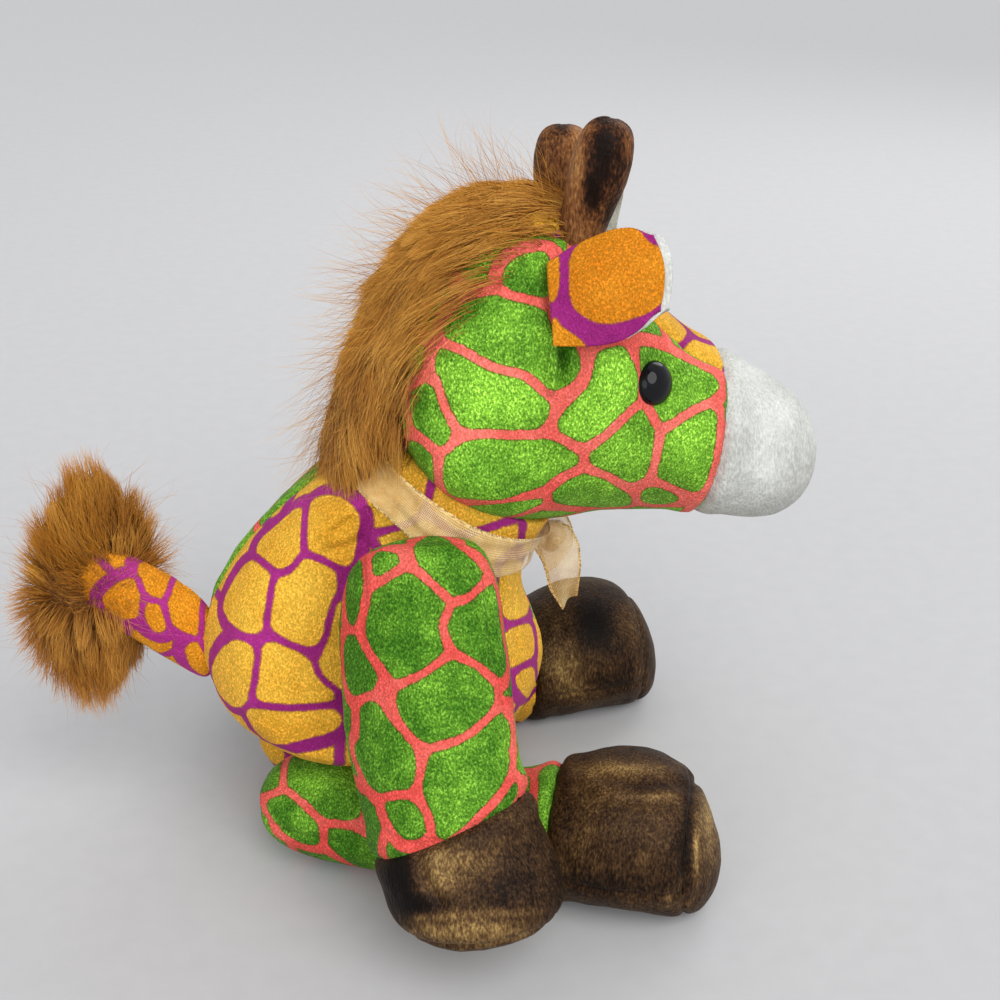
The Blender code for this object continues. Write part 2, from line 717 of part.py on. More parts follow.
def make_limb(name, form, flat, seam, sole, cloth, joint):
    """A limb's tube, hoof, sole and filling, from one smooth form parted at its seams."""
    skin = shell_of(form, [flat], SKIN)
    for part_name, planes, material in (
        (name + "_skin", [seam], cloth),
        (name + "_hoof", [facing_back(seam), sole], "brown_velvet"),
        (name + "_sole", [facing_back(sole)], "brown_velvet"),
    ):
        add_object(part_name, trimmed(part_name, skin, planes), material, joint)
    add_filling(name + "_filling", form, [flat], [], joint)


def make_arm(name, side, cloth):
    place = shoulder_place(side)
    axis = shoulder_axis(side)
    swing = LEFT_ARM_SWING if side > 0 else ARM_SWING
    root = place + axis * ARM_DEPTH / 2
    reach = Vector((swing, ARM_SPREAD * side, -ARM_DROP))
    down = reach.normalized()
    wide = down.cross(axis).normalized()
    deep = wide.cross(down).normalized()

    def along(share):
        return root + reach * share

    rings = []
    for share, spread, back, width, depth in ARM_RING_SHARES:
        centre = root + Vector((swing * share, ARM_SPREAD * spread * side, -ARM_DROP * share))
        centre -= wide * ARM_WIDTH * back * side
        rings.append((centre, wide * ARM_WIDTH * width, deep * ARM_DEPTH / 2 * depth))
    tip = along(1 + ARM_TIP_SHARE)
    form = smooth_form(rings, root - down * ARM_DEPTH * ARM_ROOT_SHARE, tip, LIMB_SIDES)
    slant = Matrix.Rotation(-WRIST_SLANT * side, 3, axis)
    seam = (along(WRIST_SHARE), slant @ down)
    sole = (along(ARM_SOLE_SHARE), down)
    inner_side = (place + axis * MOVING_GAP, -axis)
    joint = add_joint("shoulder_" + name, place, axis)
    make_limb("arm_" + name, form, inner_side, seam, sole, cloth, joint)


def make_leg(name, side, reach, splay, bow, cloth):
    hip = Vector((HIP_X, HIP_Y * side, LEG_RADIUS - FLOOR_SINK))
    ahead = Vector((math.cos(splay), math.sin(splay), 0))
    aside = Vector((-ahead.y, ahead.x, 0))

    def along(share):
        return hip + ahead * reach * share + aside * bow * math.sin(math.pi * share)

    rings = []
    for share, size in LEG_RING_SHARES:
        radius = LEG_RADIUS * size
        step = ahead * reach + aside * bow * math.pi * math.cos(math.pi * share)
        across = Vector((-step.y, step.x, 0)).normalized() * radius
        centre = along(share)
        centre.z = radius - FLOOR_SINK if share > 0 else hip.z
        rings.append((centre, across, Vector((0, 0, radius))))
    tip = along(1 + LEG_TIP_SHARE)
    tip.z = rings[-1][0].z
    rear = hip - ahead * LEG_RADIUS * LEG_REAR_SHARE
    form = smooth_form(rings, rear, tip, LIMB_SIDES)
    heading = along(1) - along(LEG_SOLE_SHARE)
    heading.z = 0
    heading.normalize()
    ankle_way = along(ANKLE_SHARE + HEADING_STEP_SHARE) - along(ANKLE_SHARE)
    seam = (along(ANKLE_SHARE), ankle_way.normalized())
    sole = (along(LEG_SOLE_SHARE), heading)
    joint = add_joint("hip_" + name, hip, Vector((-ahead.y, ahead.x, 0)))
    make_limb("leg_" + name, form, FLOOR, seam, sole, cloth, joint)


# Tail

def make_tail():
    pivot = Vector((TAIL_X, 0, TAIL_Z))
    axis = Vector((0, 0, 1))
    joint = add_joint("tail_root", pivot, axis)
    back = Vector((-math.cos(TAIL_RISE), 0, math.sin(TAIL_RISE)))
    rings = []
    for share, height, thickness in TAIL_RING_SHARES:
        turn = TAIL_RISE * min(max(share, 0) * 2, 1)
        up = Vector((math.sin(turn), 0, math.cos(turn)))
        across = Vector((0, TAIL_THICKNESS * thickness, 0))
        rings.append((pivot + back * TAIL_LENGTH * share, across, up * TAIL_HEIGHT * height))
    start = pivot - Vector((-1, 0, 0)) * TAIL_THICKNESS / 2
    end = pivot + back * TAIL_LENGTH * TAIL_TIP_SHARE
    form = smooth_form(rings, start, end, LIMB_SIDES)
    open_end = (pivot + back * TAIL_LENGTH, back)
    skin = shell_of(form, [], SKIN)
    add_object("tail_skin", trimmed("tail_skin", skin, [open_end]), "yellow_velour", joint)
    add_filling("tail_filling", form, [], [open_end], joint)
    middle = Vector((TUFT_X, TUFT_Y, TUFT_Z))
    rings = []
    for rise, shift, size in TUFT_RING_SHARES:
        centre = middle + Vector((TUFT_DEPTH * shift, 0, TUFT_HEIGHT * rise))
        rings.append((centre, Vector((TUFT_DEPTH * size, 0, 0)), Vector((0, TUFT_WIDTH * size, 0))))
    low = rings[0][0] - Vector((0, 0, TUFT_HEIGHT * TUFT_TIP_SHARE))
    high = rings[-1][0] + Vector((0, 0, TUFT_HEIGHT * TUFT_TIP_SHARE))
    tuft = add_object("tail_tuft", smooth_form(rings, low, high, LIMB_SIDES), "golden_fur", joint)
    cut(tuft, add_cutter("tail_space", grown(form, CLEARANCE)))


# Ribbon

def make_ribbon(form):
    loose = shell_of(grown(form, RIBBON_GAP + RIBBON_THICKNESS), [], RIBBON_THICKNESS)
    low = (NECK_CENTRE + NECK_AXIS * BAND_LOW, -NECK_AXIS)
    high = (NECK_CENTRE + NECK_AXIS * BAND_HIGH, NECK_AXIS)
    add_object("ribbon_band", trimmed("ribbon_band", loose, [low, high]), "ribbon")
    front = Vector((NECK_AXIS.z, 0, -NECK_AXIS.x))
    proud = RIBBON_GAP + SEAM_GAP + RIBBON_THICKNESS + KNOT_DEPTH / 2
    middle = NECK_CENTRE + NECK_AXIS * (BAND_LOW + BAND_HIGH) / 2
    centre = middle + front * (BODY_DEPTH * NECK_FRONT_SHARE + proud)
    rings = []
    for share, size in KNOT_RING_SHARES:
        across = front * KNOT_DEPTH * size
        place = centre + Vector((0, KNOT_WIDTH * share, 0))
        rings.append((place, across, NECK_AXIS * KNOT_HEIGHT * size))
    start = centre - Vector((0, KNOT_WIDTH / 2, 0))
    end = centre + Vector((0, KNOT_WIDTH / 2, 0))
    add_object("ribbon_knot", smooth_form(rings, start, end, LIMB_SIDES), "ribbon")
    for side, name, length in ((-1, "right", RIGHT_END_LENGTH), (1, "left", LEFT_END_LENGTH)):
        make_ribbon_end(name, side, centre + front * KNOT_DEPTH / 2, length)


def make_ribbon_end(name, side, start, length):
    """A free end: down from the knot, bulging forward, its width across the chest."""
    bm = bmesh.new()
    rows = []
    for step in range(RIBBON_END_STEPS + 1):
        way = step / RIBBON_END_STEPS
        forward = CLEARANCE + RIBBON_END_BULGE * math.sin(math.pi * way)
        middle = start + Vector((forward, RIBBON_END_SPREAD * side * (1 + way), -length * way))
        open_share = math.sin(math.pi / 2 * min(way * 2, 1))
        half = RIBBON_WIDTH / 2 * (RIBBON_PINCH_SHARE + (1 - RIBBON_PINCH_SHARE) * open_share)
        turn = RIBBON_END_TURN * side
        across = Vector((-math.sin(turn), math.cos(turn), 0)) * half
        rows.append([bm.verts.new(middle - across), bm.verts.new(middle + across)])
    for near, far in zip(rows, rows[1:]):
        bm.faces.new((near[0], near[1], far[1], far[0]))
    piece = add_object("ribbon_end_" + name, mesh_from(bm, name), "ribbon")
    cloth = piece.modifiers.new("cloth", "SOLIDIFY")
    cloth.thickness = RIBBON_THICKNESS
    cloth.offset = 0


body = body_form()
head = head_form()
make_body(body)
neck_joint = add_joint("neck", NECK_SEAM, NECK_AXIS)
side_panels, head_filling = make_head(head, neck_joint)
head_space = add_cutter("head_space", grown(head, CLEARANCE))
for side_sign, side_name in ((-1, "right"), (1, "left")):
    make_eye(side_name, side_sign, head, side_panels[side_sign], head_filling, neck_joint)
    make_horn(side_name, side_sign, head_space, neck_joint)
    ear_root, ear_up, _, _ = ear_frame(side_sign)
    ear_joint = add_joint("ear_root_" + side_name, ear_root, ear_up)
    make_ear(side_name, side_sign, ear_joint)
make_mane(head_space, neck_joint)
make_arm("right", -1, "green_velour")
make_arm("left", 1, "green_velour")
make_leg("right", -1, RIGHT_LEG_REACH, RIGHT_LEG_SPLAY, RIGHT_LEG_BOW, "green_velour")
make_leg("left", 1, LEFT_LEG_REACH, LEFT_LEG_SPLAY, LEFT_LEG_BOW, "yellow_velour")
make_tail()
make_ribbon(body)
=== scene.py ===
"""The plush giraffe as it looks: velour skins with their patches, crushed velvet, long fur, ribbon.

Lengths are in metres. Places read from the photograph are in its pixels and are cast from
the camera onto the toy's own forms.
"""
import math

import bmesh
import bpy
import numpy as np
from mathutils import Euler, Matrix, Vector
from mathutils.bvhtree import BVHTree
from mathutils.kdtree import KDTree


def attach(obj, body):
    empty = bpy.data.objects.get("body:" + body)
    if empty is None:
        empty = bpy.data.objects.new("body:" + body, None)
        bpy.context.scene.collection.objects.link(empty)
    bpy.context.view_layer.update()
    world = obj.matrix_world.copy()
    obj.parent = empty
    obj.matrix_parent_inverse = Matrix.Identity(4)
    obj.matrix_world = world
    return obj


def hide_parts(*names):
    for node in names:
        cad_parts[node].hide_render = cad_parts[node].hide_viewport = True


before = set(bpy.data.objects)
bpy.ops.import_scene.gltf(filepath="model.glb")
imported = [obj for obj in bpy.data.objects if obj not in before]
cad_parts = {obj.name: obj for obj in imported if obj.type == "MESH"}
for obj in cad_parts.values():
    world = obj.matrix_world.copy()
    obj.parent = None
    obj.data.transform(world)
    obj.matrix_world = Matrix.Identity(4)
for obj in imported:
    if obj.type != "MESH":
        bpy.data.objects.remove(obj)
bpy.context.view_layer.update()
LEVELS = 5
CORE_LEVELS = 3
FUR_SHARE = 1.0
MM = 0.001
AHEAD, ASIDE, UP = Vector((1, 0, 0)), Vector((0, 1, 0)), Vector((0, 0, 1))
SIDES = ((-1, "right"), (1, "left"))
BROAD_SIDES = 10
SLIM_SIDES = 8


def on_side(place, side):
    """A place on the toy's left, or its mirror image on the right."""
    return Vector((place[0], place[1] * side, place[2]))


def eased(share):
    """A share from 0 to 1 that starts and ends gently."""
    return share * share * (3 - 2 * share)


# Camera

VIEW_FROM = Vector((-0.0199, -0.3087, 0.2325))
VIEW_TURN = Euler((math.radians(64), 0, -math.radians(7))).to_matrix()
IMAGE_SIZE = 1000
FOCAL = 1550
SENSOR_SIZE = 36

camera = bpy.data.objects.new("camera", bpy.data.cameras.new("camera"))
bpy.context.scene.collection.objects.link(camera)
camera.location = VIEW_FROM
camera.rotation_euler = VIEW_TURN.to_euler()
camera.data.sensor_width = SENSOR_SIZE
camera.data.lens = SENSOR_SIZE * FOCAL / IMAGE_SIZE
camera.data.clip_start = 0.01
bpy.context.scene.camera = camera
bpy.context.scene.view_settings.view_transform = "Standard"


def sight(x, y):
    """The direction in which the camera sees a pixel."""
    half = IMAGE_SIZE / 2
    return (VIEW_TURN @ Vector(((x - half) / FOCAL, (half - y) / FOCAL, -1))).normalized()


def seen_at(points):
    """Each point's pixel, and its depth."""
    local = (points - np.array(VIEW_FROM)) @ np.array(VIEW_TURN)
    depth = -local[:, 2]
    half = IMAGE_SIZE / 2
    return np.stack([half + FOCAL * local[:, 0] / depth, half - FOCAL * local[:, 1] / depth], 1), depth


# Smooth noise on points

PRIMES = np.array((73856093, 19349663, 83492791))
SEED_PRIME = 50331653
MIX_PRIME = 1274126177
MASK = 0xFFFFFF
TWIST = np.array(Euler((0.7, 1.1, 0.4)).to_matrix())


def lattice(cells, seed):
    """A random number from -1 to 1 for each cell."""
    with np.errstate(over="ignore"):
        mixed = np.bitwise_xor.reduce(cells * PRIMES, axis=-1) ^ seed * SEED_PRIME
        mixed = (mixed ^ (mixed >> 13)) * MIX_PRIME
        mixed = mixed ^ (mixed >> 16)
    return (mixed & MASK) / float(MASK) * 2 - 1


def noise(points, size, seed=0):
    """Smooth noise from -1 to 1."""
    places = points @ TWIST / size + seed * 17.3
    base = np.floor(places).astype(np.int64)
    part = eased(places - base)
    total = np.zeros(len(points))
    for corner in range(8):
        step = np.array([corner & 1, corner >> 1 & 1, corner >> 2 & 1])
        weight = np.prod(np.where(step, part, 1 - part), axis=1)
        total += weight * lattice(base + step, seed)
    return total


def noise_vectors(points, size, seed=0):
    return np.stack([noise(points, size, seed + axis * 7 + 1) for axis in range(3)], 1)


# Meshes as arrays

def read(items, field, width=1, kind=np.int32):
    """One field of a mesh's vertices, edges, faces or corners."""
    values = np.empty(len(items) * width, kind)
    items.foreach_get(field, values)
    return values.reshape(-1, width) if width > 1 else values


def surface(mesh):
    """Each vertex's place and normal."""
    return read(mesh.vertices, "co", 3, float), read(mesh.vertex_normals, "vector", 3, float)


def face_centres(mesh):
    return read(mesh.polygons, "center", 3, float)


def move_to(mesh, points):
    mesh.vertices.foreach_set("co", points.ravel())
    mesh.update()


def mesh_of(points, totals, corners, fields=None):
    """A mesh from its faces' numbers of corners and the corners' vertices, with fields of vertex values."""
    mesh = bpy.data.meshes.new("piece")
    mesh.vertices.add(len(points))
    mesh.vertices.foreach_set("co", np.asarray(points, float).ravel())
    mesh.loops.add(len(corners))
    mesh.polygons.add(len(totals))
    mesh.polygons.foreach_set("loop_start", (np.cumsum(totals) - totals).astype(np.int32))
    mesh.loops.foreach_set("vertex_index", np.asarray(corners, np.int32))
    mesh.update(calc_edges=True)
    mesh.shade_smooth()
    for field, values in (fields or {}).items():
        layer = mesh.attributes.new(field, "FLOAT", "POINT")
        layer.data.foreach_set("value", np.asarray(values, np.float32))
    return mesh


def quad_mesh(points, quads, fields=None):
    return mesh_of(points, np.full(len(quads), 4), quads.ravel(), fields)


def reshaped(mesh, points, fields=None):
    """A mesh with the same faces on other points."""
    return mesh_of(points, read(mesh.polygons, "loop_total"), read(mesh.loops, "vertex_index"), fields)


def grid_quads(rows, columns):
    index = np.arange(rows * columns).reshape(rows, columns)
    quads = np.stack([index[:-1, :-1], index[:-1, 1:], index[1:, 1:], index[1:, :-1]], -1)
    return index, quads.reshape(-1, 4)


def add_piece(name, mesh, body, cloth, node=None):
    """A visible piece on a body, in place of a CAD node if one is named."""
    material, slot = cloth
    mesh.name = name
    mesh.materials.append(material)
    piece = bpy.data.objects.new(name, mesh)
    bpy.context.scene.collection.objects.link(piece)
    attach(piece, body)
    if node:
        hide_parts(node)
    return piece


# Soft forms, from the same rings as the CAD solids

def subdivided(bm, levels):
    bmesh.ops.recalc_face_normals(bm, faces=bm.faces[:])
    mesh = bpy.data.meshes.new("cage")
    bm.to_mesh(mesh)
    bm.free()
    cage = bpy.data.objects.new("cage", mesh)
    bpy.context.scene.collection.objects.link(cage)
    cage.modifiers.new("soft", "SUBSURF").levels = levels
    graph = bpy.context.evaluated_depsgraph_get()
    result = bpy.data.meshes.new_from_object(cage.evaluated_get(graph))
    bpy.data.objects.remove(cage, do_unlink=True)
    return result


def smooth_form(rings, start_tip, end_tip, sides, levels=LEVELS):
    """A smooth form through rings, each a centre and two half axes, closed by a tip at each end."""
    bm = bmesh.new()
    swell = 6 / (4 + 2 * math.cos(math.tau / sides))
    loops = []
    for centre, across, up in rings:
        loop = []
        for step in range(sides):
            angle = math.tau * (step + 0.5) / sides
            loop.append(bm.verts.new(centre + (across * math.cos(angle) + up * math.sin(angle)) * swell))
        loops.append(loop)
    for near, far in zip(loops, loops[1:]):
        for step in range(sides):
            after = (step + 1) % sides
            bm.faces.new((near[step], near[after], far[after], far[step]))
    for tip, loop in ((start_tip, loops[0]), (end_tip, loops[-1])):
        point = bm.verts.new(tip)
        for step in range(sides):
            bm.faces.new((loop[step], loop[(step + 1) % sides], point))
    return subdivided(bm, levels)


def bisect(bm, plane, reach, **options):
    """Edges where a plane, given as a place and an outward direction, meets the mesh."""
    geometry = bm.verts[:] + bm.edges[:] + bm.faces[:]
    bmesh.ops.bisect_plane(bm, geom=geometry, dist=reach, plane_co=plane[0], plane_no=plane[1], **options)


def marked(mesh, planes):
    """The mesh with edges along each plane, so that a seam can part it cleanly."""
    bm = bmesh.new()
    bm.from_mesh(mesh)
    for plane in planes:
        bisect(bm, plane, 0.02 * MM)
    bm.normal_update()
    bm.to_mesh(mesh)
    bm.free()
    mesh.update()
    return mesh


def past(points, plane):
    """How far each point lies beyond a plane, on its outward side."""
    place, outward = plane
    return (points - np.array(place)) @ np.array(outward)


RIM = 1.3 * MM


def open_edges(place, totals, size):
    """The edges that only one face has, as two lists of vertices, from each corner's vertex."""
    ends = np.cumsum(totals)
    following = np.arange(len(place)) + 1
    following[ends - 1] = ends - totals
    near, far = place, place[following]
    key = np.minimum(near, far) * np.int64(size) + np.maximum(near, far)
    _, inverse, counts = np.unique(key, return_inverse=True, return_counts=True)
    single = counts[inverse] == 1
    return near[single], far[single]


def panel(mesh, keep, fields):
    """The kept faces as a piece of cloth, its edges turned in at the seams."""
    starts, totals = read(mesh.polygons, "loop_start"), read(mesh.polygons, "loop_total")
    corners = read(mesh.loops, "vertex_index")
    points, facing = surface(mesh)
    kept = np.flatnonzero(keep)
    picks = np.concatenate([np.arange(starts[i], starts[i] + totals[i]) for i in kept])
    used, place = np.unique(corners[picks], return_inverse=True)
    near, far = open_edges(place, totals[kept], len(used))
    border, ends = np.unique(np.concatenate([near, far]), return_inverse=True)
    near_index, far_index = ends[:len(near)], ends[len(near):]
    flat = points[used]
    inward = facing[used][border]
    first, second = len(used), len(used) + len(border)
    quads = np.concatenate([
        np.stack([far, near, first + near_index, first + far_index], 1),
        np.stack([first + far_index, first + near_index, second + near_index, second + far_index], 1),
    ])
    new_fields = {}
    for field, values in fields.items():
        inner = values[used]
        new_fields[field] = np.concatenate([inner, inner[border], inner[border]])
    return mesh_of(
        np.concatenate([flat] + [flat[border] - inward * depth for depth in (RIM * 0.4, RIM)]),
        np.concatenate([totals[kept], np.full(len(quads), 4)]),
        np.concatenate([place, quads.ravel()]),
        new_fields,
    )


# Displacement

def tree_of(mesh):
    bm = bmesh.new()
    bm.from_mesh(mesh)
    tree = BVHTree.FromBMesh(bm)
    bm.free()
    return tree


def cast_line(tree, line, step=1.5):
    """Points on a form under a line of pixels."""
    found = []
    for (x0, y0), (x1, y1) in zip(line, line[1:]):
        count = max(int(math.hypot(x1 - x0, y1 - y0) / step), 1)
        for index in range(count + 1):
            way = index / count
            hit = tree.ray_cast(VIEW_FROM, sight(x0 + (x1 - x0) * way, y0 + (y1 - y0) * way))
            if hit[0] is not None:
                found.append(hit[0])
    return found


def nearest_gaps(points, marks):
    """Each point's distance to the nearest mark."""
    tree = KDTree(len(marks))
    for index, mark in enumerate(marks):
        tree.insert(mark, index)
    tree.balance()
    return np.array([tree.find(point)[2] for point in points])


def distance_to(points, marks, limit):
    """Each point's distance to the nearest mark, no further than the limit."""
    result = np.full(len(points), limit)
    if marks:
        low = np.min([tuple(mark) for mark in marks], axis=0) - limit
        high = np.max([tuple(mark) for mark in marks], axis=0) + limit
        near = np.flatnonzero(np.all((points > low) & (points < high), axis=1))
        result[near] = np.minimum(nearest_gaps(points[near], marks), limit)
    return result


def pushed(points, facing, amount):
    """The points moved outward, each by its own amount."""
    return points + facing * amount[:, None]


def bell(value):
    return np.exp(-(value ** 2))


def creased(points, facing, mesh, creases):
    """Creases with soft lips, each a line of pixels with a depth and a width in millimetres.

    A ridge has a negative depth.
    """
    tree = tree_of(mesh)
    for line, depth, width in creases:
        depth, width = depth * MM, width * MM
        gap = distance_to(points, cast_line(tree, line), width * 4)
        lip = depth * 0.35 * bell((gap - width * 2) / width)
        points = pushed(points, facing, lip - depth * bell(gap / width))
    return points


def seam_press(points, facing, plane, depth=0.9 * MM, width=0.7 * MM, puff=0.35 * MM, where=None):
    """A sewn seam: a narrow groove, the cloth swelling beside it, drawn in at each stitch."""
    gap = past(points, plane)
    press = -depth * bell(gap / width) * (1 + 0.3 * noise(points, 2.2 * MM, 5))
    swell = puff * bell((np.abs(gap) - 3.0 * MM) / (2.4 * MM)) * (1 + 0.5 * noise(points, 7 * MM, 9))
    amount = press + swell
    return pushed(points, facing, amount if where is None else amount * where)


def lumps(points, facing, seed, big=0.40 * MM, small=0.10 * MM):
    """The uneven filling that shows through the cloth."""
    amount = big * noise(points, 13 * MM, seed) + big * 0.5 * noise(points, 6 * MM, seed + 1)
    return pushed(points, facing, amount + small * noise(points, 2.4 * MM, seed + 2))


# Patches

FAR_OUTSIDE = -99.0
CLEAR = 16
INVENTED_WARP = 9 * MM
NO_EDGE = 60 * MM
FREE_SHARE = 0.42
CORNER_SOFTNESS = 0.7 * MM
FRONT_GAP = 3.6 * MM


def rounded(outline):
    """An outline with its corners cut twice."""
    points = np.array(outline, float)
    for _ in range(2):
        after = np.roll(points, -1, 0)
        points = np.stack([points * 0.75 + after * 0.25, points * 0.25 + after * 0.75], 1).reshape(-1, 2)
    return points


def inside_depth(pixels, outline):
    """How far inside an outline each pixel lies, in pixels. Outside it is negative."""
    result = np.full(len(pixels), FAR_OUTSIDE)
    low, high = outline.min(0) - CLEAR, outline.max(0) + CLEAR
    near = np.flatnonzero(np.all((pixels > low) & (pixels < high), axis=1))
    spots = pixels[near]
    gap = np.full(len(near), 1e9)
    crossed = np.zeros(len(near), bool)
    for start, end in zip(outline, np.roll(outline, -1, 0)):
        along = end - start
        way = np.clip((spots - start) @ along / max(along @ along, 1e-9), 0, 1)
        gap = np.minimum(gap, np.linalg.norm(spots - start - way[:, None] * along, axis=1))
        straddles = (start[1] > spots[:, 1]) != (end[1] > spots[:, 1])
        with np.errstate(divide="ignore", invalid="ignore"):
            meets = (end[0] - start[0]) * (spots[:, 1] - start[1]) / (end[1] - start[1]) + start[0]
        crossed ^= straddles & (spots[:, 0] < meets)
    result[near] = np.where(crossed, gap, -gap)
    return result


def shown_patches(pixels, outlines):
    """The outline around each pixel, or -1, how deep inside it lies, and how deep in the next nearest."""
    label = np.full(len(pixels), -1)
    depth = np.full(len(pixels), FAR_OUTSIDE)
    second = depth
    for index, outline in enumerate(outlines):
        inside = inside_depth(pixels, rounded(outline))
        label[inside > np.maximum(depth, 0)] = index
        second = np.maximum(second, np.minimum(depth, inside))
        depth = np.maximum(depth, inside)
    return label, depth, second


def first_meeting(mesh, view, reach, chosen):
    """How far from the camera each chosen line of sight first meets the form."""
    tree = tree_of(mesh)
    first = reach.copy()
    for index in np.flatnonzero(chosen):
        hit = tree.ray_cast(VIEW_FROM, Vector(view[index]))
        if hit[0] is not None:
            first[index] = hit[3]
    return first


def edge_marks(mesh, points, label, depth):
    """Points along the edges of the patches that the photograph shows."""
    edges = read(mesh.edges, "vertices", 2)
    marks = []
    for pair in edges[label[edges[:, 0]] != label[edges[:, 1]]]:
        near, far = (depth[end] if label[end] >= 0 else min(depth[end], -0.01) for end in pair)
        way = 0.5
        if max(abs(near), abs(far)) < 8 and (near > 0) != (far > 0):
            way = near / (near - far)
        marks.append(points[pair[0]] * (1 - way) + points[pair[1]] * way)
    return marks


def invented_patches(points, free, spacing, line, seed):
    """The depth inside evenly scattered patches, in millimetres, and each patch's tone."""
    warped = points + noise_vectors(points, INVENTED_WARP, seed + 40) * (0.11 * spacing)
    centres = []
    for index in np.random.default_rng(seed).permutation(len(points)):
        if free[index] and all(np.sum((warped[index] - other) ** 2) > spacing ** 2 for other in centres):
            centres.append(warped[index])
    if len(centres) < 2:
        return np.full(len(points), -9.0), np.zeros(len(points))
    blocks = np.array_split(warped, 12)
    gaps = np.concatenate([np.linalg.norm(block[:, None] - np.array(centres), axis=2) for block in blocks])
    nearest, least = gaps.argmin(1), gaps.min(1)
    gaps[np.arange(len(points)), nearest] = 1.0
    rest = -CORNER_SOFTNESS * np.log(np.exp(-(gaps - least[:, None]) / CORNER_SOFTNESS).sum(1))
    return (rest / 2 - line / 2) / MM, (nearest * 7919 % 97) / 97


def patch_fields(mesh, outlines, spacing, line, seed, around=7.0 * MM, grow=0.75, spots=(), nap_and_light=0.0):
    """For each vertex: millimetres inside a patch's edge, or negative outside, its tone, and the pile's lie
    with painted light and shade.

    Patches that the photograph shows follow their outlines. Elsewhere the cloth
    has patches of the same size, with the same lines between them.
    """
    points, facing = surface(mesh)
    pixels, away = seen_at(points)
    view = points - np.array(VIEW_FROM)
    reach = np.linalg.norm(view, axis=1)
    view = view / reach[:, None]
    slant = np.einsum("ij,ij->i", facing, view)
    label, depth, second = shown_patches(pixels, outlines)
    behind = reach - first_meeting(mesh, view, reach, label >= 0)
    label[(behind > around) | ((slant >= 0) & (behind > around * 0.6))] = -1
    marks = edge_marks(mesh, points, label, depth)
    traced = nearest_gaps(points, marks) if marks else np.full(len(points), NO_EDGE)
    free = (label < 0) & (traced > spacing * FREE_SHARE)
    own, kind = invented_patches(points, free, spacing, line, seed)
    toward = np.clip(-3 * slant, 0, 1) * (behind < around)
    own = np.minimum(own, (traced - line - (FRONT_GAP - line) * toward) / MM)
    pixel = away / FOCAL / MM
    room = np.clip((-second - depth) * pixel / 2 - line * 0.38 / MM, -0.4, grow)
    own = np.maximum(own, room - traced / MM)
    shown = label >= 0
    edge = np.where(shown, traced / MM + room, own)
    tone = np.where(shown, (label * 6151 % 89) / 89, kind)
    # The nap field: random pile lie plus the spots of painted light and shade and any painted offset.
    return {"edge": np.clip(edge, -4, 8), "tone": tone, "nap_and_light": spotted(points, spots)[0] + nap_and_light}


def spotted(points, spots):
    """The places of painted light and shade that the photograph shows, and how far each point is within one.

    Spots are (x, y, half width, half height, weight), in pixels.
    """
    pixels, _ = seen_at(points)
    seen = np.zeros(len(points))
    total = np.zeros(len(points))
    for x, y, wide, high, weight in spots:
        share = np.exp(-(((pixels[:, 0] - x) / wide) ** 2) - ((pixels[:, 1] - y) / high) ** 2)
        total += share * weight
        seen = np.maximum(seen, share)
    return total, seen


def nap_and_light_field(points, spots, seed, size=5 * MM, base=0.0):
    """How the velvet's pile lies, with painted sheen and shade at the spots: dark below zero, bright above.
    """
    total, seen = spotted(points, spots)
    result = base + 0.26 * noise(points, size * 1.6, seed) + 0.16 * noise(points, size * 0.5, seed + 1)
    return result * (1 - 0.75 * seen) + total * 1.25


# Materials

class Look:
    """A material under construction."""

    def __init__(self, name):
        self.material = bpy.data.materials.new(name)
        self.material.use_nodes = True
        self.tree = self.material.node_tree
        self.shader = self.tree.nodes["Principled BSDF"]
        self.place = self.node("TexCoord").outputs["Object"]

    def node(self, kind, **settings):
        node = self.tree.nodes.new("ShaderNode" + kind)
        for name, value in settings.items():
            setattr(node, name, value)
        return node

    def into(self, node, **inputs):
        """Gives a node's inputs their values, or links what other nodes put out."""
        for name, value in inputs.items():
            self.plug(node.inputs[name.replace("_", " ")], value)
        return node

    def plug(self, socket, value):
        if isinstance(value, bpy.types.NodeSocket):
            self.tree.links.new(value, socket)
        else:
            socket.default_value = value

    def set(self, **inputs):
        self.into(self.shader, **inputs)

    def field(self, name):
        return self.node("Attribute", attribute_name=name).outputs["Fac"]

    def sum(self, operation, one, other=0.0):
        node = self.node("Math", operation=operation)
        self.plug(node.inputs[0], one)
        self.plug(node.inputs[1], other)
        return node.outputs[0]

    def grain(self, size, detail=2.0, rough=0.5, stretch=None, distort=0.0):
        """Noise of a size, stretched along each axis by the inverse of its share."""
        place = self.place
        if stretch:
            place = self.into(self.node("Mapping"), Scale=stretch, Vector=place).outputs[0]
        node = self.node("TexNoise")
        self.into(node, Scale=1 / size, Detail=detail, Roughness=rough, Distortion=distort, Vector=place)
        return node.outputs["Fac"]

    def span(self, value, low, high, to_low=0.0, to_high=1.0):
        node = self.into(self.node("MapRange"), Value=value, From_Min=low, From_Max=high)
        return self.into(node, To_Min=to_low, To_Max=to_high).outputs[0]

    def ramp(self, value, stops):
        node = self.node("ValToRGB")
        elements = node.color_ramp.elements
        while len(elements) < len(stops):
            elements.new(0.5)
        for element, (position, colour) in zip(elements, stops):
            element.position = position
            element.color = (*colour, 1)
        self.plug(node.inputs[0], value)
        return node.outputs[0]

    def mix(self, share, one, other, blend="MIX"):
        node = self.into(self.node("Mix", data_type="RGBA", blend_type=blend), Factor=share)
        colours = [socket for socket in node.inputs if socket.type == "RGBA"]
        for socket, value in zip(colours, (one, other)):
            self.plug(socket, (*value, 1) if isinstance(value, tuple) else value)
        return next(socket for socket in node.outputs if socket.type == "RGBA")

    def bump(self, height, strength, distance, under=None):
        node = self.into(self.node("Bump"), Strength=strength, Distance=distance, Height=height)
        if under is not None:
            self.into(node, Normal=under)
        return node.outputs[0]


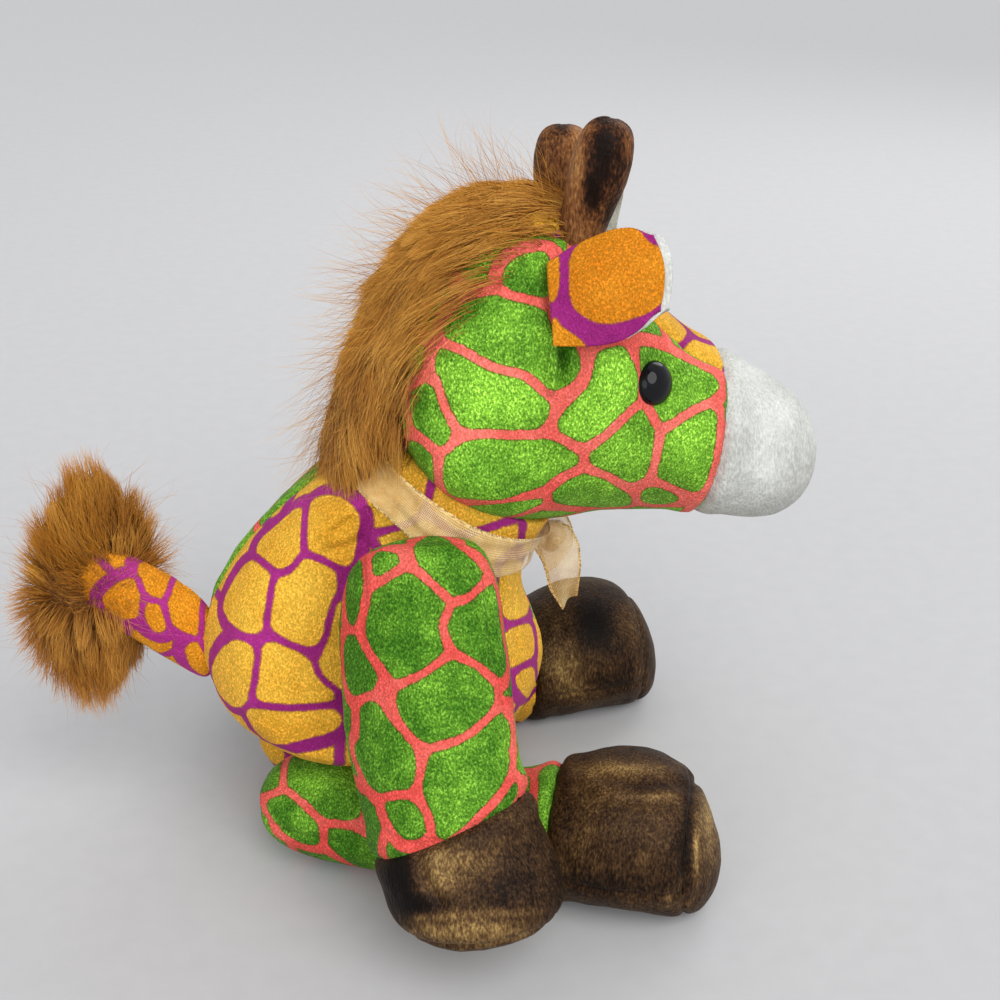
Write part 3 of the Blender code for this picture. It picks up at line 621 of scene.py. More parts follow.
def tinted(colour, share):
    return tuple(channel * share for channel in colour)


# Net colours: lit, shaded and the print's dark rim; lit and shaded are painted light and shade.
MAGENTA_NET = ((0.400, 0.030, 0.230), (0.230, 0.012, 0.130), (0.110, 0.004, 0.060))
CORAL_NET = ((0.820, 0.180, 0.135), (0.640, 0.070, 0.055), (0.300, 0.035, 0.025))
# Multipliers for the pile's grain, dark to light, ending in painted glints on the pile.
PILE_GRAIN_AND_GLINTS = (
    (0.28, (0.30, 0.34, 0.30)), (0.44, (0.72, 0.73, 0.70)),
    (0.57, (1.14, 1.12, 1.05)), (0.67, (2.6, 1.95, 3.2)),
)


def velour(name, patch_colours, net_colours, speckle):
    """Short pile cloth: patches and the lines between them, both printed.

    The colours of each are a lit and a shaded copy, mixed by random mottling and by painted light and shade,
    and the print's dark rim.
    """
    look = Look(name)
    edge = look.field("edge")
    for size, detail, reach in ((0.7 * MM, 1, 0.20), (2.6 * MM, 2, 0.30)):
        edge = look.sum("ADD", edge, look.span(look.grain(size, detail), 0, 1, -reach, reach))
    nap_and_light = look.span(look.grain(7 * MM, 3, 0.6), 0.3, 0.7, 0.0, 0.55)
    nap_and_light = look.sum("ADD", nap_and_light, look.sum("MULTIPLY", look.field("tone"), 0.45))
    nap_and_light = look.sum("ADD", nap_and_light, look.field("nap_and_light"))
    # Painted light and shade: the lit and shaded copies are mixed by the nap field.
    patch, net = (look.mix(nap_and_light, dark, light) for light, dark, _ in (patch_colours, net_colours))
    print_colour = look.mix(look.span(edge, -0.12, 0.14), net, patch)
    near = look.sum("SUBTRACT", 1.0, look.sum("ABSOLUTE", look.sum("SUBTRACT", edge, 0.10)))
    rim = look.mix(look.span(edge, -0.1, 0.3), net_colours[2], patch_colours[2])
    print_colour = look.mix(look.span(near, 0.74, 0.98, 0.0, 0.80), print_colour, rim)
    # Pile grain with painted glints, scaled by the speckle share.
    pile = look.grain(0.42 * MM, 2, 0.6, (1, 1, 0.7))
    amount = look.span(edge, -0.12, 0.14, speckle * 0.45, speckle)
    look.set(
        Base_Color=look.mix(amount, print_colour, look.ramp(pile, PILE_GRAIN_AND_GLINTS), "MULTIPLY"),
        Roughness=0.60, Sheen_Weight=0.04, Sheen_Roughness=0.30, Sheen_Tint=(0.9, 0.95, 0.5, 1),
        Specular_IOR_Level=0.08,
        Normal=look.bump(pile, 0.85, 0.5 * MM, look.bump(look.grain(2.8 * MM, 3, 0.6), 0.35, 0.8 * MM)),
    )
    return look.material


VELVET_STOPS = (0.00, 0.22, 0.36, 0.50, 0.64, 0.80, 1.0)
WHITE_STOPS = (0.00, 0.30, 0.50, 0.72, 1.0)


def velvet(name, stops, colours, roughness=0.5, sheen=(0.75, 0.55, 0.3)):
    """Crushed velvet: its colour follows how the pile lies, and runs from painted shade to painted sheen."""
    look = Look(name)
    streak = look.grain(0.5 * MM, 2, 0.6, (1, 1, 0.35))
    nap_and_light = look.span(look.grain(2.4 * MM, 3, 0.65, (1, 1, 0.6)), 0.25, 0.75, -0.20, 0.20)
    nap_and_light = look.sum("ADD", look.field("nap_and_light"), nap_and_light)
    nap_and_light = look.sum("ADD", nap_and_light, look.span(streak, 0.3, 0.72, -0.42, 0.48))
    look.set(
        Base_Color=look.ramp(look.span(nap_and_light, -1.2, 1.6), list(zip(stops, colours))),
        Roughness=roughness, Sheen_Weight=0.03, Sheen_Roughness=0.3, Sheen_Tint=(*sheen, 1),
        Specular_IOR_Level=0.08,
        Normal=look.bump(streak, 0.7, 0.4 * MM, look.bump(look.grain(3 * MM, 3, 0.6), 0.4, 0.8 * MM)),
    )
    return look.material


def fur(name, root, middle, tip):
    look = Look(name)
    tone = look.field("tone")
    base = look.mix(tone, tinted(root, 0.4), root)
    strand = look.mix(look.field("along"), base, look.mix(tone, middle, tip))
    look.set(Base_Color=strand, Roughness=0.45, Sheen_Weight=0.05, Specular_IOR_Level=0.20)
    return look.material


def fuzzy_core(name, dark, light):
    look = Look(name)
    pile = look.grain(0.8 * MM, 3, 0.6, (1, 1, 0.25))
    look.set(Base_Color=look.ramp(pile, [(0.3, dark), (0.7, light)]), Roughness=0.8)
    look.set(Normal=look.bump(pile, 0.8, 0.6 * MM))
    return look.material


def plastic(name, colour, roughness):
    look = Look(name)
    scratch = look.grain(3 * MM, 4, 0.6)
    look.set(Base_Color=look.ramp(scratch, [(0.35, colour), (0.7, tinted(colour, 1.6))]))
    look.set(Roughness=roughness, Specular_IOR_Level=0.22, Normal=look.bump(scratch, 0.02, 0.1 * MM))
    return look.material


def fibre(name, colour, size):
    look = Look(name)
    tangle = look.grain(size, 4, 0.7, distort=1.5)
    look.set(Base_Color=look.ramp(tangle, [(0.3, tinted(colour, 0.75)), (0.7, colour)]))
    look.set(Roughness=0.95, Sheen_Weight=0.5, Normal=look.bump(tangle, 0.8, size))
    return look.material


def organza(name):
    """Sheer ribbon: threads both ways with light between them, and a metal thread along each edge."""
    look = Look(name)
    place = look.node("UVMap").outputs[0]
    waves = [look.node("TexWave", wave_type="BANDS", bands_direction=way) for way in "XY"]
    fades = [look.into(wave, Scale=0.75, Vector=place).outputs["Fac"] for wave in waves]
    thread = look.sum("MAXIMUM", *fades)
    gold = look.field("gold")
    base = look.mix(look.span(look.grain(4 * MM, 2), 0.3, 0.7), (0.58, 0.36, 0.12), (0.84, 0.62, 0.28))
    base = look.mix(look.span(look.grain(0.35 * MM, 2, 0.7), 0.58, 0.75), base, (1.0, 0.90, 0.66))
    dashes = look.span(look.grain(0.5 * MM, 1), 0.42, 0.58)
    metal = look.mix(dashes, (0.16, 0.085, 0.015), (0.85, 0.60, 0.22))
    cover = look.sum("ADD", look.span(thread, 0.35, 0.85, 0.24, 0.74), gold)
    look.set(Base_Color=look.mix(gold, base, metal), Alpha=look.sum("MINIMUM", cover, 1.0))
    look.set(Roughness=0.35, Sheen_Weight=0.2, Normal=look.bump(thread, 0.3, 0.15 * MM))
    return look.material


# Cloths, each a material and its slot

# Each velour's colours are lit patch, shaded patch and print rim; lit and shaded are painted light and
# shade.
GREEN = velour(
    "green_velour_print", ((0.255, 0.590, 0.045), (0.046, 0.160, 0.008), (0.026, 0.095, 0.010)),
    CORAL_NET, 1.0,
), "green_velour"
YELLOW = velour(
    "yellow_velour_print", ((0.820, 0.490, 0.052), (0.620, 0.310, 0.022), (0.400, 0.110, 0.040)),
    MAGENTA_NET, 0.5,
), "yellow_velour"
ORANGE = velour(
    "orange_velour_print", ((0.680, 0.280, 0.014), (0.500, 0.160, 0.005), (0.380, 0.100, 0.040)),
    MAGENTA_NET, 0.5,
), "yellow_velour"
# Velvet ramps run from near-black painted shade through the velvet's own colour to a pale painted sheen.
BROWN = velvet("brown_crushed_velvet", VELVET_STOPS, (
    (0.003, 0.0014, 0.0007), (0.010, 0.0048, 0.0022), (0.034, 0.016, 0.0065), (0.072, 0.037, 0.014),
    (0.160, 0.092, 0.032), (0.34, 0.22, 0.075), (0.66, 0.50, 0.22),
)), "brown_velvet"
AUBURN = velvet("auburn_crushed_velvet", VELVET_STOPS, (
    (0.006, 0.0025, 0.001), (0.016, 0.006, 0.003), (0.060, 0.022, 0.008), (0.150, 0.056, 0.018),
    (0.260, 0.110, 0.036), (0.42, 0.22, 0.075), (0.70, 0.45, 0.20),
)), "brown_velvet"
WHITE = velvet("white_crushed_velvet", WHITE_STOPS, (
    (0.27, 0.27, 0.25), (0.42, 0.42, 0.39), (0.54, 0.55, 0.51), (0.68, 0.69, 0.65), (0.92, 0.92, 0.90),
), 0.55, (0.9, 0.9, 0.9)), "white_velvet"
FUR = fur("golden_fur", (0.360, 0.115, 0.008), (0.620, 0.240, 0.018), (0.980, 0.560, 0.110)), "golden_fur"
CORE = fuzzy_core("fur_backing", (0.060, 0.020, 0.004), (0.26, 0.100, 0.015)), "golden_fur"
BLACK = plastic("black_glossy_plastic", (0.003, 0.003, 0.004), 0.06), "black_plastic"
WASHER = plastic("white_washer_plastic", (0.75, 0.75, 0.72), 0.4)
FILLING = fibre("polyester_fibre", (0.86, 0.86, 0.83), 1.2 * MM), "filling"
POUCH = fibre("pellet_pouch_cloth", (0.62, 0.58, 0.50), 0.5 * MM), "filling"
SHEER = organza("organza_ribbon"), "ribbon"


# The neck, from the CAD

NECK_LEAN = math.radians(31)
NECK_AXIS = Vector((math.sin(NECK_LEAN), 0, math.cos(NECK_LEAN)))
NECK_FRONT = Vector((NECK_AXIS.z, 0, -NECK_AXIS.x))
NECK_CENTRE = Vector((0.0075, 0, 0.0860))
NECK_SEAM = NECK_CENTRE + NECK_AXIS * 0.0050
NECK_PLANE = (NECK_SEAM, NECK_AXIS)


def closed_off(points, plane, depth):
    """What lies beyond a plane pressed flat against it, into a shallow dome."""
    beyond = np.maximum(past(points, plane), 0)
    return points - np.array(plane[1]) * (beyond - depth * (1 - np.exp(-beyond / depth)))[:, None]


# Body

SEAT_Z = 0.0257
BODY_MIDDLE = (Vector((0, 0, 0)), ASIDE)
BODY_BASE_X = -0.0090
BODY_BASE_Z = 0.0285
BODY_DEPTH = 0.0740
BODY_WIDTH = 0.0640
BODY_CAP = 0.06
BODY_RINGS = (
    (-0.06, -0.06, 0.00, 0.30, 0.28),
    (0.03, -0.08, 0.00, 0.452, 0.435),
    (0.20, -0.12, 0.03, 0.525, 0.515),
    (0.40, -0.14, 0.14, 0.520, 0.51),
    (0.60, -0.02, 0.42, 0.455, 0.475),
    (0.80, 0.36, 0.78, 0.370, 0.430),
    (0.99, 0.92, 1.00, 0.295, 0.380),
    (1.20, 1.70, 1.00, 0.260, 0.345),
)
SHOULDER = (0.0050, 0.0250, 0.0815)
SHOULDER_TURN = math.radians(25)
ARM_WIDTH = 0.0350
ARM_DEPTH = 0.0255
ARM_DROP = 0.0698
ARM_SPREAD = 0.0232
ARM_SWINGS = {-1: 0.0060, 1: -0.0193}
ARM_HOLLOW = 19.6 * MM


def shoulder(side):
    """Where an arm is sewn on, and the direction away from the body."""
    return on_side(SHOULDER, side), on_side((-math.sin(SHOULDER_TURN), math.cos(SHOULDER_TURN), 0), side)


def pressed_by_arm(points, side):
    """The body's side, flattened where the arm lies against it."""
    place, axis = (np.array(vector) for vector in shoulder(side))
    ahead = np.array((math.cos(SHOULDER_TURN), math.sin(SHOULDER_TURN) * side, 0))
    step = points - place
    forward = step @ ahead
    reach = np.hypot(forward, step[:, 2])
    beyond = step @ axis - np.maximum(reach - ARM_HOLLOW, 0) * 0.40
    behind = ARM_SWINGS[side] * np.clip(-step[:, 2] / ARM_DROP, 0, 1) - forward
    share = eased(np.clip((ARM_WIDTH * 1.40 - behind) / (ARM_WIDTH * 0.68), 0, 1))
    return points - axis * (np.maximum(beyond, 0) * share)[:, None]


def body_mesh(levels=LEVELS):
    rise_by, lean_by = NECK_CENTRE.z - BODY_BASE_Z, NECK_CENTRE.x - BODY_BASE_X
    rings = []
    for rise, lean, tilt, depth, width in BODY_RINGS:
        angle = NECK_LEAN * tilt
        centre = Vector((BODY_BASE_X + lean_by * lean, 0, BODY_BASE_Z + rise_by * rise))
        across = Vector((math.cos(angle), 0, -math.sin(angle))) * BODY_DEPTH * depth
        rings.append((centre, across, ASIDE * (BODY_WIDTH * width)))
    bottom = rings[0][0] - UP * (rise_by * BODY_CAP)
    top = rings[-1][0] + NECK_AXIS * rise_by * BODY_CAP
    mesh = smooth_form(rings, bottom, top, BROAD_SIDES, levels)
    points = surface(mesh)[0]
    for side, _ in SIDES:
        points = pressed_by_arm(points, side)
    points[:, 2] = np.maximum(points[:, 2], SEAT_Z)
    move_to(mesh, points)
    return mesh


BODY_PATCHES = (
    ((307, 503), (330, 495), (350, 505), (358, 520), (353, 545), (350, 565), (338, 562), (320, 555),
     (307, 548)),
    ((262, 540), (275, 528), (290, 515), (303, 505), (302, 525), (297, 560), (288, 567), (275, 566),
     (262, 556), (257, 548)),
    ((222, 605), (232, 585), (245, 565), (255, 562), (268, 572), (271, 582), (263, 620), (258, 632),
     (245, 630), (232, 622)),
    ((275, 580), (290, 577), (300, 562), (308, 558), (325, 565), (335, 575), (333, 595), (326, 620),
     (320, 640), (310, 645), (295, 640), (280, 632), (270, 622), (272, 600)),
    ((222, 650), (235, 642), (248, 645), (254, 655), (252, 675), (247, 695), (240, 706), (228, 703),
     (217, 690), (211, 670)),
    ((265, 642), (280, 648), (300, 655), (310, 665), (318, 680), (335, 690), (335, 697), (320, 702),
     (270, 703), (257, 697), (258, 680)),
    ((245, 712), (260, 710), (300, 714), (335, 710), (340, 722), (330, 730), (310, 735), (275, 745),
     (258, 735)),
    ((335, 605), (345, 600), (350, 660), (350, 690), (335, 690), (318, 668), (328, 650)),
    ((503, 565), (515, 560), (525, 570), (530, 590), (528, 610), (520, 618), (505, 617), (500, 600)),
    ((503, 635), (530, 622), (534, 640), (533, 658), (508, 668), (505, 655)),
    ((520, 672), (533, 665), (535, 690), (530, 697), (522, 690), (516, 680)),
)
# Spots of painted light and shade on the body's skin.
BODY_LIGHTS = (
    (240, 610, 26, 60, 0.20), (300, 600, 28, 40, 0.35), (290, 730, 60, 18, -0.75),
    (345, 545, 18, 30, -0.30), (345, 680, 14, 60, -0.30), (290, 685, 30, 14, -0.20),
    (513, 600, 16, 40, 0.10), (340, 520, 30, 16, -0.35),
)
BODY_CREASES = (
    (((372, 512), (366, 530), (364, 552)), 0.9, 1.3),
    (((362, 508), (350, 520), (338, 530)), 0.5, 1.2),
    (((358, 540), (345, 548), (330, 552)), 0.5, 1.2),
    (((345, 590), (342, 640), (345, 700)), 0.5, 2.0),
    (((300, 712), (330, 706), (346, 700)), 0.45, 1.3),
    (((238, 720), (270, 716), (300, 716)), 0.3, 1.5),
    (((516, 560), (514, 600), (518, 640)), 0.4, 1.4),
    (((500, 560), (498, 600), (502, 640)), 0.6, 1.0),
)


def make_body():
    mesh = marked(body_mesh(), [BODY_MIDDLE, NECK_PLANE])
    points, facing = surface(mesh)
    centres = face_centres(mesh)
    seat = points[:, 2] < SEAT_Z + 0.2 * MM
    points = lumps(points, facing, 11)
    points = seam_press(points, facing, BODY_MIDDLE, where=np.abs(facing[:, 2]) < 0.8)
    points = creased(points, facing, mesh, BODY_CREASES)
    points[seat, 2] = SEAT_Z
    points[:, 2] = np.maximum(points[:, 2], SEAT_Z)
    move_to(mesh, closed_off(points, NECK_PLANE, 1.0 * MM))
    right = patch_fields(mesh, BODY_PATCHES, 13.5 * MM, 1.7 * MM, 3, spots=BODY_LIGHTS)
    left = patch_fields(mesh, (), 16.5 * MM, 2.0 * MM, 4)
    for (side, name), cloth, fields in zip(SIDES, (YELLOW, GREEN), (right, left)):
        skin = panel(mesh, centres[:, 1] * side > 0, fields)
        add_piece("body_skin_" + name, skin, "torso", cloth, "body_panel_" + name)


# Head

HEAD_REAR_X = -0.0070
HEAD_LENGTH = 0.0963
HEAD_BASE_Z = 0.0745
HEAD_HEIGHT = 0.0755
HEAD_WIDTH = 0.0500
HEAD_RINGS = (
    (0.030, 0.490, 0.190, 0.33),
    (0.110, 0.505, 0.337, 0.45),
    (0.220, 0.522, 0.428, 0.51),
    (0.345, 0.525, 0.471, 0.53),
    (0.470, 0.487, 0.412, 0.49),
    (0.590, 0.378, 0.312, 0.42),
    (0.690, 0.308, 0.262, 0.37),
    (0.870, 0.224, 0.232, 0.325),
    (0.945, 0.205, 0.172, 0.240),
    (0.988, 0.198, 0.090, 0.120),
)
CHEEK_SWELL = 0.56
CHEEK_BACK = 0.0060
CHEEK_HEIGHT = 0.0120
CHEEK_LENGTH = 0.0260
MUZZLE_SEAM = Vector((0.0630, 0, 0.0950))
MUZZLE_SLOPE = math.radians(9)
MUZZLE_PLANE = (MUZZLE_SEAM, Vector((math.cos(MUZZLE_SLOPE), 0, -math.sin(MUZZLE_SLOPE))))
GUSSET_SPLIT = (MUZZLE_SEAM, -UP)
GUSSET_TOP = 0.0115
GUSSET_BOTTOM = 0.0050
HEAD_SEAM = (NECK_SEAM - NECK_AXIS * 2.4 * MM, -NECK_AXIS)
HEAD_DOME = 7.0 * MM
EYE_PLACE = Vector((0.0480, 0.0194, 0.1150))
EYE_AXIS = Vector((0.4717, 0.8313, 0.2941))
EYE_DENT = 1.0 * MM
EYE_LIP = 0.45 * MM


def head_place(along, rise):
    """A point on the head's middle plane, in shares of its length and height."""
    return Vector((HEAD_REAR_X + HEAD_LENGTH * along, 0, HEAD_BASE_Z + HEAD_HEIGHT * rise))


def gusset_plane(side):
    """The plane between a side panel and the gussets, facing the side panel."""
    top = Vector((0, GUSSET_TOP * side, HEAD_BASE_Z + HEAD_HEIGHT))
    bottom = Vector((0, GUSSET_BOTTOM * side, HEAD_BASE_Z))
    return bottom, (top - bottom).normalized().cross(AHEAD) * side


def head_mesh(levels=LEVELS):
    rings = []
    for along, middle, half_height, half_width in HEAD_RINGS:
        halves = ASIDE * (HEAD_WIDTH * half_width), UP * (HEAD_HEIGHT * half_height)
        rings.append((head_place(along, middle), *halves))
    rear, front = head_place(0, HEAD_RINGS[0][1]), head_place(1, HEAD_RINGS[-1][1])
    mesh = smooth_form(rings, rear, front, BROAD_SIDES, levels)
    points = surface(mesh)[0]
    above = np.maximum(past(points, NECK_PLANE), 0)
    ahead = past(points, (NECK_SEAM, NECK_FRONT)) + CHEEK_BACK
    points[:, 1] *= 1 + CHEEK_SWELL * np.exp(-((above / CHEEK_HEIGHT) ** 2) - (ahead / CHEEK_LENGTH) ** 2)
    move_to(mesh, points)
    return mesh


HEAD_PATCHES = (
    ((508, 268), (520, 258), (540, 253), (549, 258), (550, 292), (540, 298), (525, 297), (510, 290),
     (504, 280)),
    ((446, 330), (452, 318), (465, 305), (480, 300), (500, 298), (520, 300), (535, 305), (545, 313),
     (553, 338), (570, 345), (577, 355), (579, 368), (572, 380), (556, 388), (548, 388), (540, 380),
     (525, 368), (510, 365), (495, 360), (480, 352), (465, 343), (448, 337)),
    ((440, 348), (465, 360), (480, 370), (500, 377), (515, 378), (530, 385), (547, 402), (547, 412),
     (540, 425), (525, 431), (505, 430), (465, 425), (455, 418), (447, 405), (440, 385), (437, 365)),
    ((418, 390), (435, 382), (438, 395), (443, 410), (448, 425), (447, 438), (440, 445), (430, 440),
     (418, 430), (412, 410), (412, 395)),
    ((408, 450), (412, 442), (420, 442), (428, 452), (433, 465), (435, 480), (433, 490), (420, 475),
     (410, 462)),
    ((442, 480), (442, 468), (450, 455), (465, 445), (485, 440), (510, 439), (540, 441), (560, 445),
     (577, 458), (575, 465), (562, 472), (545, 482), (530, 492), (510, 500), (490, 502), (465, 500),
     (450, 495)),
    ((455, 506), (500, 503), (530, 498), (545, 500), (530, 508), (510, 516), (490, 518), (470, 513)),
    ((552, 497), (560, 485), (575, 477), (590, 475), (605, 478), (620, 488), (630, 500), (628, 506),
     (605, 507), (560, 503)),
    ((600, 355), (610, 350), (622, 348), (632, 355), (638, 370), (640, 385), (637, 400), (628, 408),
     (605, 432), (595, 438), (580, 440), (568, 435), (560, 427), (562, 417), (588, 392), (595, 380),
     (597, 365)),
    ((590, 455), (615, 432), (640, 408), (645, 412), (652, 430), (654, 445), (652, 465), (645, 475),
     (632, 482), (620, 480), (608, 472), (595, 468)),
    ((638, 348), (650, 350), (665, 355), (680, 362), (700, 370), (718, 382), (715, 390), (685, 410),
     (672, 420), (662, 420), (655, 410), (648, 395), (642, 380), (638, 365)),
    ((655, 475), (660, 458), (665, 440), (672, 430), (685, 420), (700, 413), (716, 410), (712, 450),
     (708, 470), (700, 490), (688, 490), (672, 487)),
    ((642, 500), (645, 490), (655, 487), (668, 489), (680, 495), (675, 502), (655, 504)),
)
GUSSET_PATCHES = (
    ((660, 306), (675, 318), (688, 333), (682, 343), (668, 346), (655, 340), (650, 328)),
    ((690, 338), (705, 345), (722, 350), (722, 372), (712, 376), (695, 365), (680, 355)),
    ((600, 503), (660, 503), (664, 510), (600, 512)),
    ((684, 500), (702, 500), (698, 512), (682, 510)),
)
# Spots of painted light and shade on the head's skin.
HEAD_LIGHTS = (
    (500, 395, 50, 30, 0.60), (495, 330, 50, 28, 0.05), (620, 450, 26, 34, 0.40),
    (695, 440, 26, 44, 0.50), (605, 385, 26, 34, 0.25), (510, 480, 50, 24, -0.20),
    (590, 496, 40, 12, -0.30), (566, 365, 10, 22, -0.30), (420, 420, 12, 50, -0.40),
    (528, 285, 26, 16, -0.25), (685, 380, 30, 16, 0.05),
)
HEAD_CREASES = (
    (((563, 338), (563, 360), (560, 385)), 1.7, 1.0),
    (((553, 340), (556, 362), (553, 386)), -1.2, 1.2),
    (((552, 256), (550, 290), (556, 330)), 0.9, 1.2),
    (((528, 270), (540, 276), (550, 274)), 0.6, 1.0),
    (((512, 284), (530, 288), (548, 286)), 0.3, 1.0),
    (((600, 344), (620, 340), (640, 342)), 0.5, 1.2),
    (((676, 380), (690, 392), (716, 398)), 0.25, 1.5),
    (((440, 500), (470, 512), (520, 520)), 0.6, 2.5),
)
# Painted shade low on the muzzle and painted highlights above, over its crush.
MUZZLE_SPOTS = (
    (742, 420, 14, 60, -0.1), (795, 470, 14, 26, -0.3), (770, 505, 34, 8, -0.25), (752, 370, 18, 14, 0.2),
    (782, 410, 14, 18, 0.25), (735, 450, 12, 16, -0.2), (765, 470, 20, 14, 0.35),
)


def eye_dent(points, side):
    """How far the cloth swells around an eye, negative where the eye draws it in."""
    gap = np.linalg.norm(points - np.array(on_side(EYE_PLACE, side)), axis=1)
    return EYE_LIP * bell((gap - 8 * MM) / (2.5 * MM)) - EYE_DENT * np.exp(-((gap / (5.2 * MM)) ** 4))


def make_head():
    planes = {side: gusset_plane(side) for side, _ in SIDES}
    mesh = marked(head_mesh(), [*planes.values(), MUZZLE_PLANE, GUSSET_SPLIT])
    points, facing = surface(mesh)
    centres = face_centres(mesh)
    points = lumps(points, facing, 21)
    behind = past(points, MUZZLE_PLANE) < 0.5 * MM
    for side, plane in planes.items():
        points = seam_press(points, facing, plane, 0.7 * MM, where=behind & (points[:, 1] * side > 0))
    points = seam_press(points, facing, MUZZLE_PLANE, 1.0 * MM, 0.8 * MM, 0.5 * MM)
    points = creased(points, facing, mesh, HEAD_CREASES)
    for side, _ in SIDES:
        points = pushed(points, facing, eye_dent(points, side))
    points = closed_off(points, HEAD_SEAM, HEAD_DOME)
    move_to(mesh, points)
    green = patch_fields(mesh, HEAD_PATCHES, 17.5 * MM, 2.4 * MM, 5, spots=HEAD_LIGHTS)
    yellow = patch_fields(mesh, GUSSET_PATCHES, 13 * MM, 1.8 * MM, 6)
    white = {"nap_and_light": nap_and_light_field(points, MUZZLE_SPOTS, 31, 6 * MM)}
    front = past(centres, MUZZLE_PLANE) > 0
    right, left = (past(centres, plane) > 0 for plane in planes.values())
    upper = past(centres, GUSSET_SPLIT) < 0
    for name, keep, fields, cloth, node in (
        ("head_skin_right", right & ~front, green, GREEN, "head_side_panel_right"),
        ("head_skin_left", left & ~front, green, GREEN, "head_side_panel_left"),
        ("head_gusset_top", ~right & ~left & upper & ~front, yellow, YELLOW, "forehead_gusset"),
        ("head_gusset_chin", ~right & ~left & ~upper & ~front, yellow, YELLOW, "chin_gusset"),
        ("head_muzzle", front, white, WHITE, "muzzle"),
    ):
        add_piece(name, panel(mesh, keep, fields), "head", cloth, node)
    return mesh


# Eyes

EYE_SINK_MM = 1.8
EYE_TURN = Vector((0.18, -0.10, 0))
EYE_RADIUS = 4.7 * MM
EYE_HEIGHT = 3.4 * MM
EYE_BASE = 0.5 * MM
EYE_SHANK = -8 * MM
EYE_RIM_MM = ((4.9, 0.3), (5.0, -0.1), (4.6, -0.6), (1.2, -0.7), (1.2, -8))
EYE_STEPS = 18


def turned(profile, place, axis, steps=48):
    """A turned solid, its profile as (radius, height) from top to bottom."""
    turn = UP.rotation_difference(axis).to_matrix()
    points, totals, corners = [], [], []
    rows = []
    for radius, height in profile:
        row = []
        for step in range(steps if radius > 0 else 1):
            angle = math.tau * step / steps
            row.append(len(points))
            spot = Vector((radius * math.cos(angle), radius * math.sin(angle), height))
            points.append(place + turn @ spot)
        rows.append(row)
    for top, low in zip(rows, rows[1:]):
        for step in range(steps):
            after = (step + 1) % steps
            face = (top[step % len(top)], low[step % len(low)], low[after % len(low)], top[after % len(top)])
            face = list(dict.fromkeys(face))
            totals.append(len(face))
            corners += face
    return mesh_of(np.array([tuple(point) for point in points]), np.array(totals), np.array(corners))


def make_eyes():
    profile = [(0, EYE_BASE + EYE_HEIGHT)]
    for step in range(1, EYE_STEPS + 1):
        angle = math.radians(90 * step / EYE_STEPS)
        profile.append((EYE_RADIUS * math.sin(angle), EYE_BASE + EYE_HEIGHT * math.cos(angle)))
    profile += [(radius * MM, height * MM) for radius, height in EYE_RIM_MM] + [(0, EYE_SHANK)]
    for side, name in SIDES:
        place = on_side(EYE_PLACE, side) - on_side(EYE_AXIS, side) * EYE_SINK_MM * MM
        axis = on_side(EYE_AXIS + EYE_TURN, side).normalized()
        add_piece("eye_dome_" + name, turned(profile, place, axis), "head", BLACK, "eye_" + name)
        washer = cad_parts["eye_washer_" + name].data.materials
        washer.clear()
        washer.append(WASHER)


# Horns

HORN_PLACE = (0.0314, 0.0085, 0.1365)
HORN_WIDTH = 0.0118
HORN_SPLAY = math.radians(4)
HORN_LEANS = {-1: math.radians(14), 1: math.radians(3)}
HORN_LENGTHS = {-1: 0.0325, 1: 0.0260}
HORN_RINGS = ((0.02, 0.34), (0.35, 0.41), (0.66, 0.51), (0.92, 0.40))
HORN_SINK = 0.0003
# Painted shade in the horn's middle fold and painted sheen on its lobes.
HORN_SPOTS = (
    (604, 150, 11, 34, -1.15), (592, 190, 10, 22, -0.95), (612, 215, 9, 22, -0.45),
    (577, 165, 7, 40, 0.55), (568, 200, 6, 30, 0.25), (590, 128, 14, 7, 0.4), (620, 165, 6, 40, -0.25),
    (585, 240, 20, 10, 0.25), (548, 175, 8, 40, 0.15), (562, 125, 8, 10, -0.5),
)


def make_horn(side, name):
    lean, length = HORN_LEANS[side], HORN_LENGTHS[side]
    axis = Vector((math.sin(lean), math.sin(HORN_SPLAY) * side, math.cos(lean))).normalized()
    base = on_side(HORN_PLACE, side)
    across = axis.cross(ASIDE).normalized()
    through = across.cross(axis).normalized()
    rings = []
    for along, width in HORN_RINGS:
        reach = HORN_WIDTH * width
        rings.append((base + axis * length * along, across * reach * (0.96 + 0.16 * along), through * reach))
    mesh = smooth_form(rings, base - axis * HORN_SINK, base + axis * length, SLIM_SIDES)
    points, facing = surface(mesh)
    points = lumps(points, facing, 41 + side, 0.18 * MM, 0.06 * MM)
    split = past(points, (base, through)) > 0
    points = seam_press(points, facing, (base, across), 0.6 * MM, 0.5 * MM, 0.15 * MM, split)
    fields = {"nap_and_light": nap_and_light_field(points, HORN_SPOTS, 51 + side, 5 * MM, 0.15)}
    velvet_horn = reshaped(mesh, points, fields)
    add_piece("horn_velvet_" + name, velvet_horn, "head", AUBURN, "horn_" + name)


# Ears

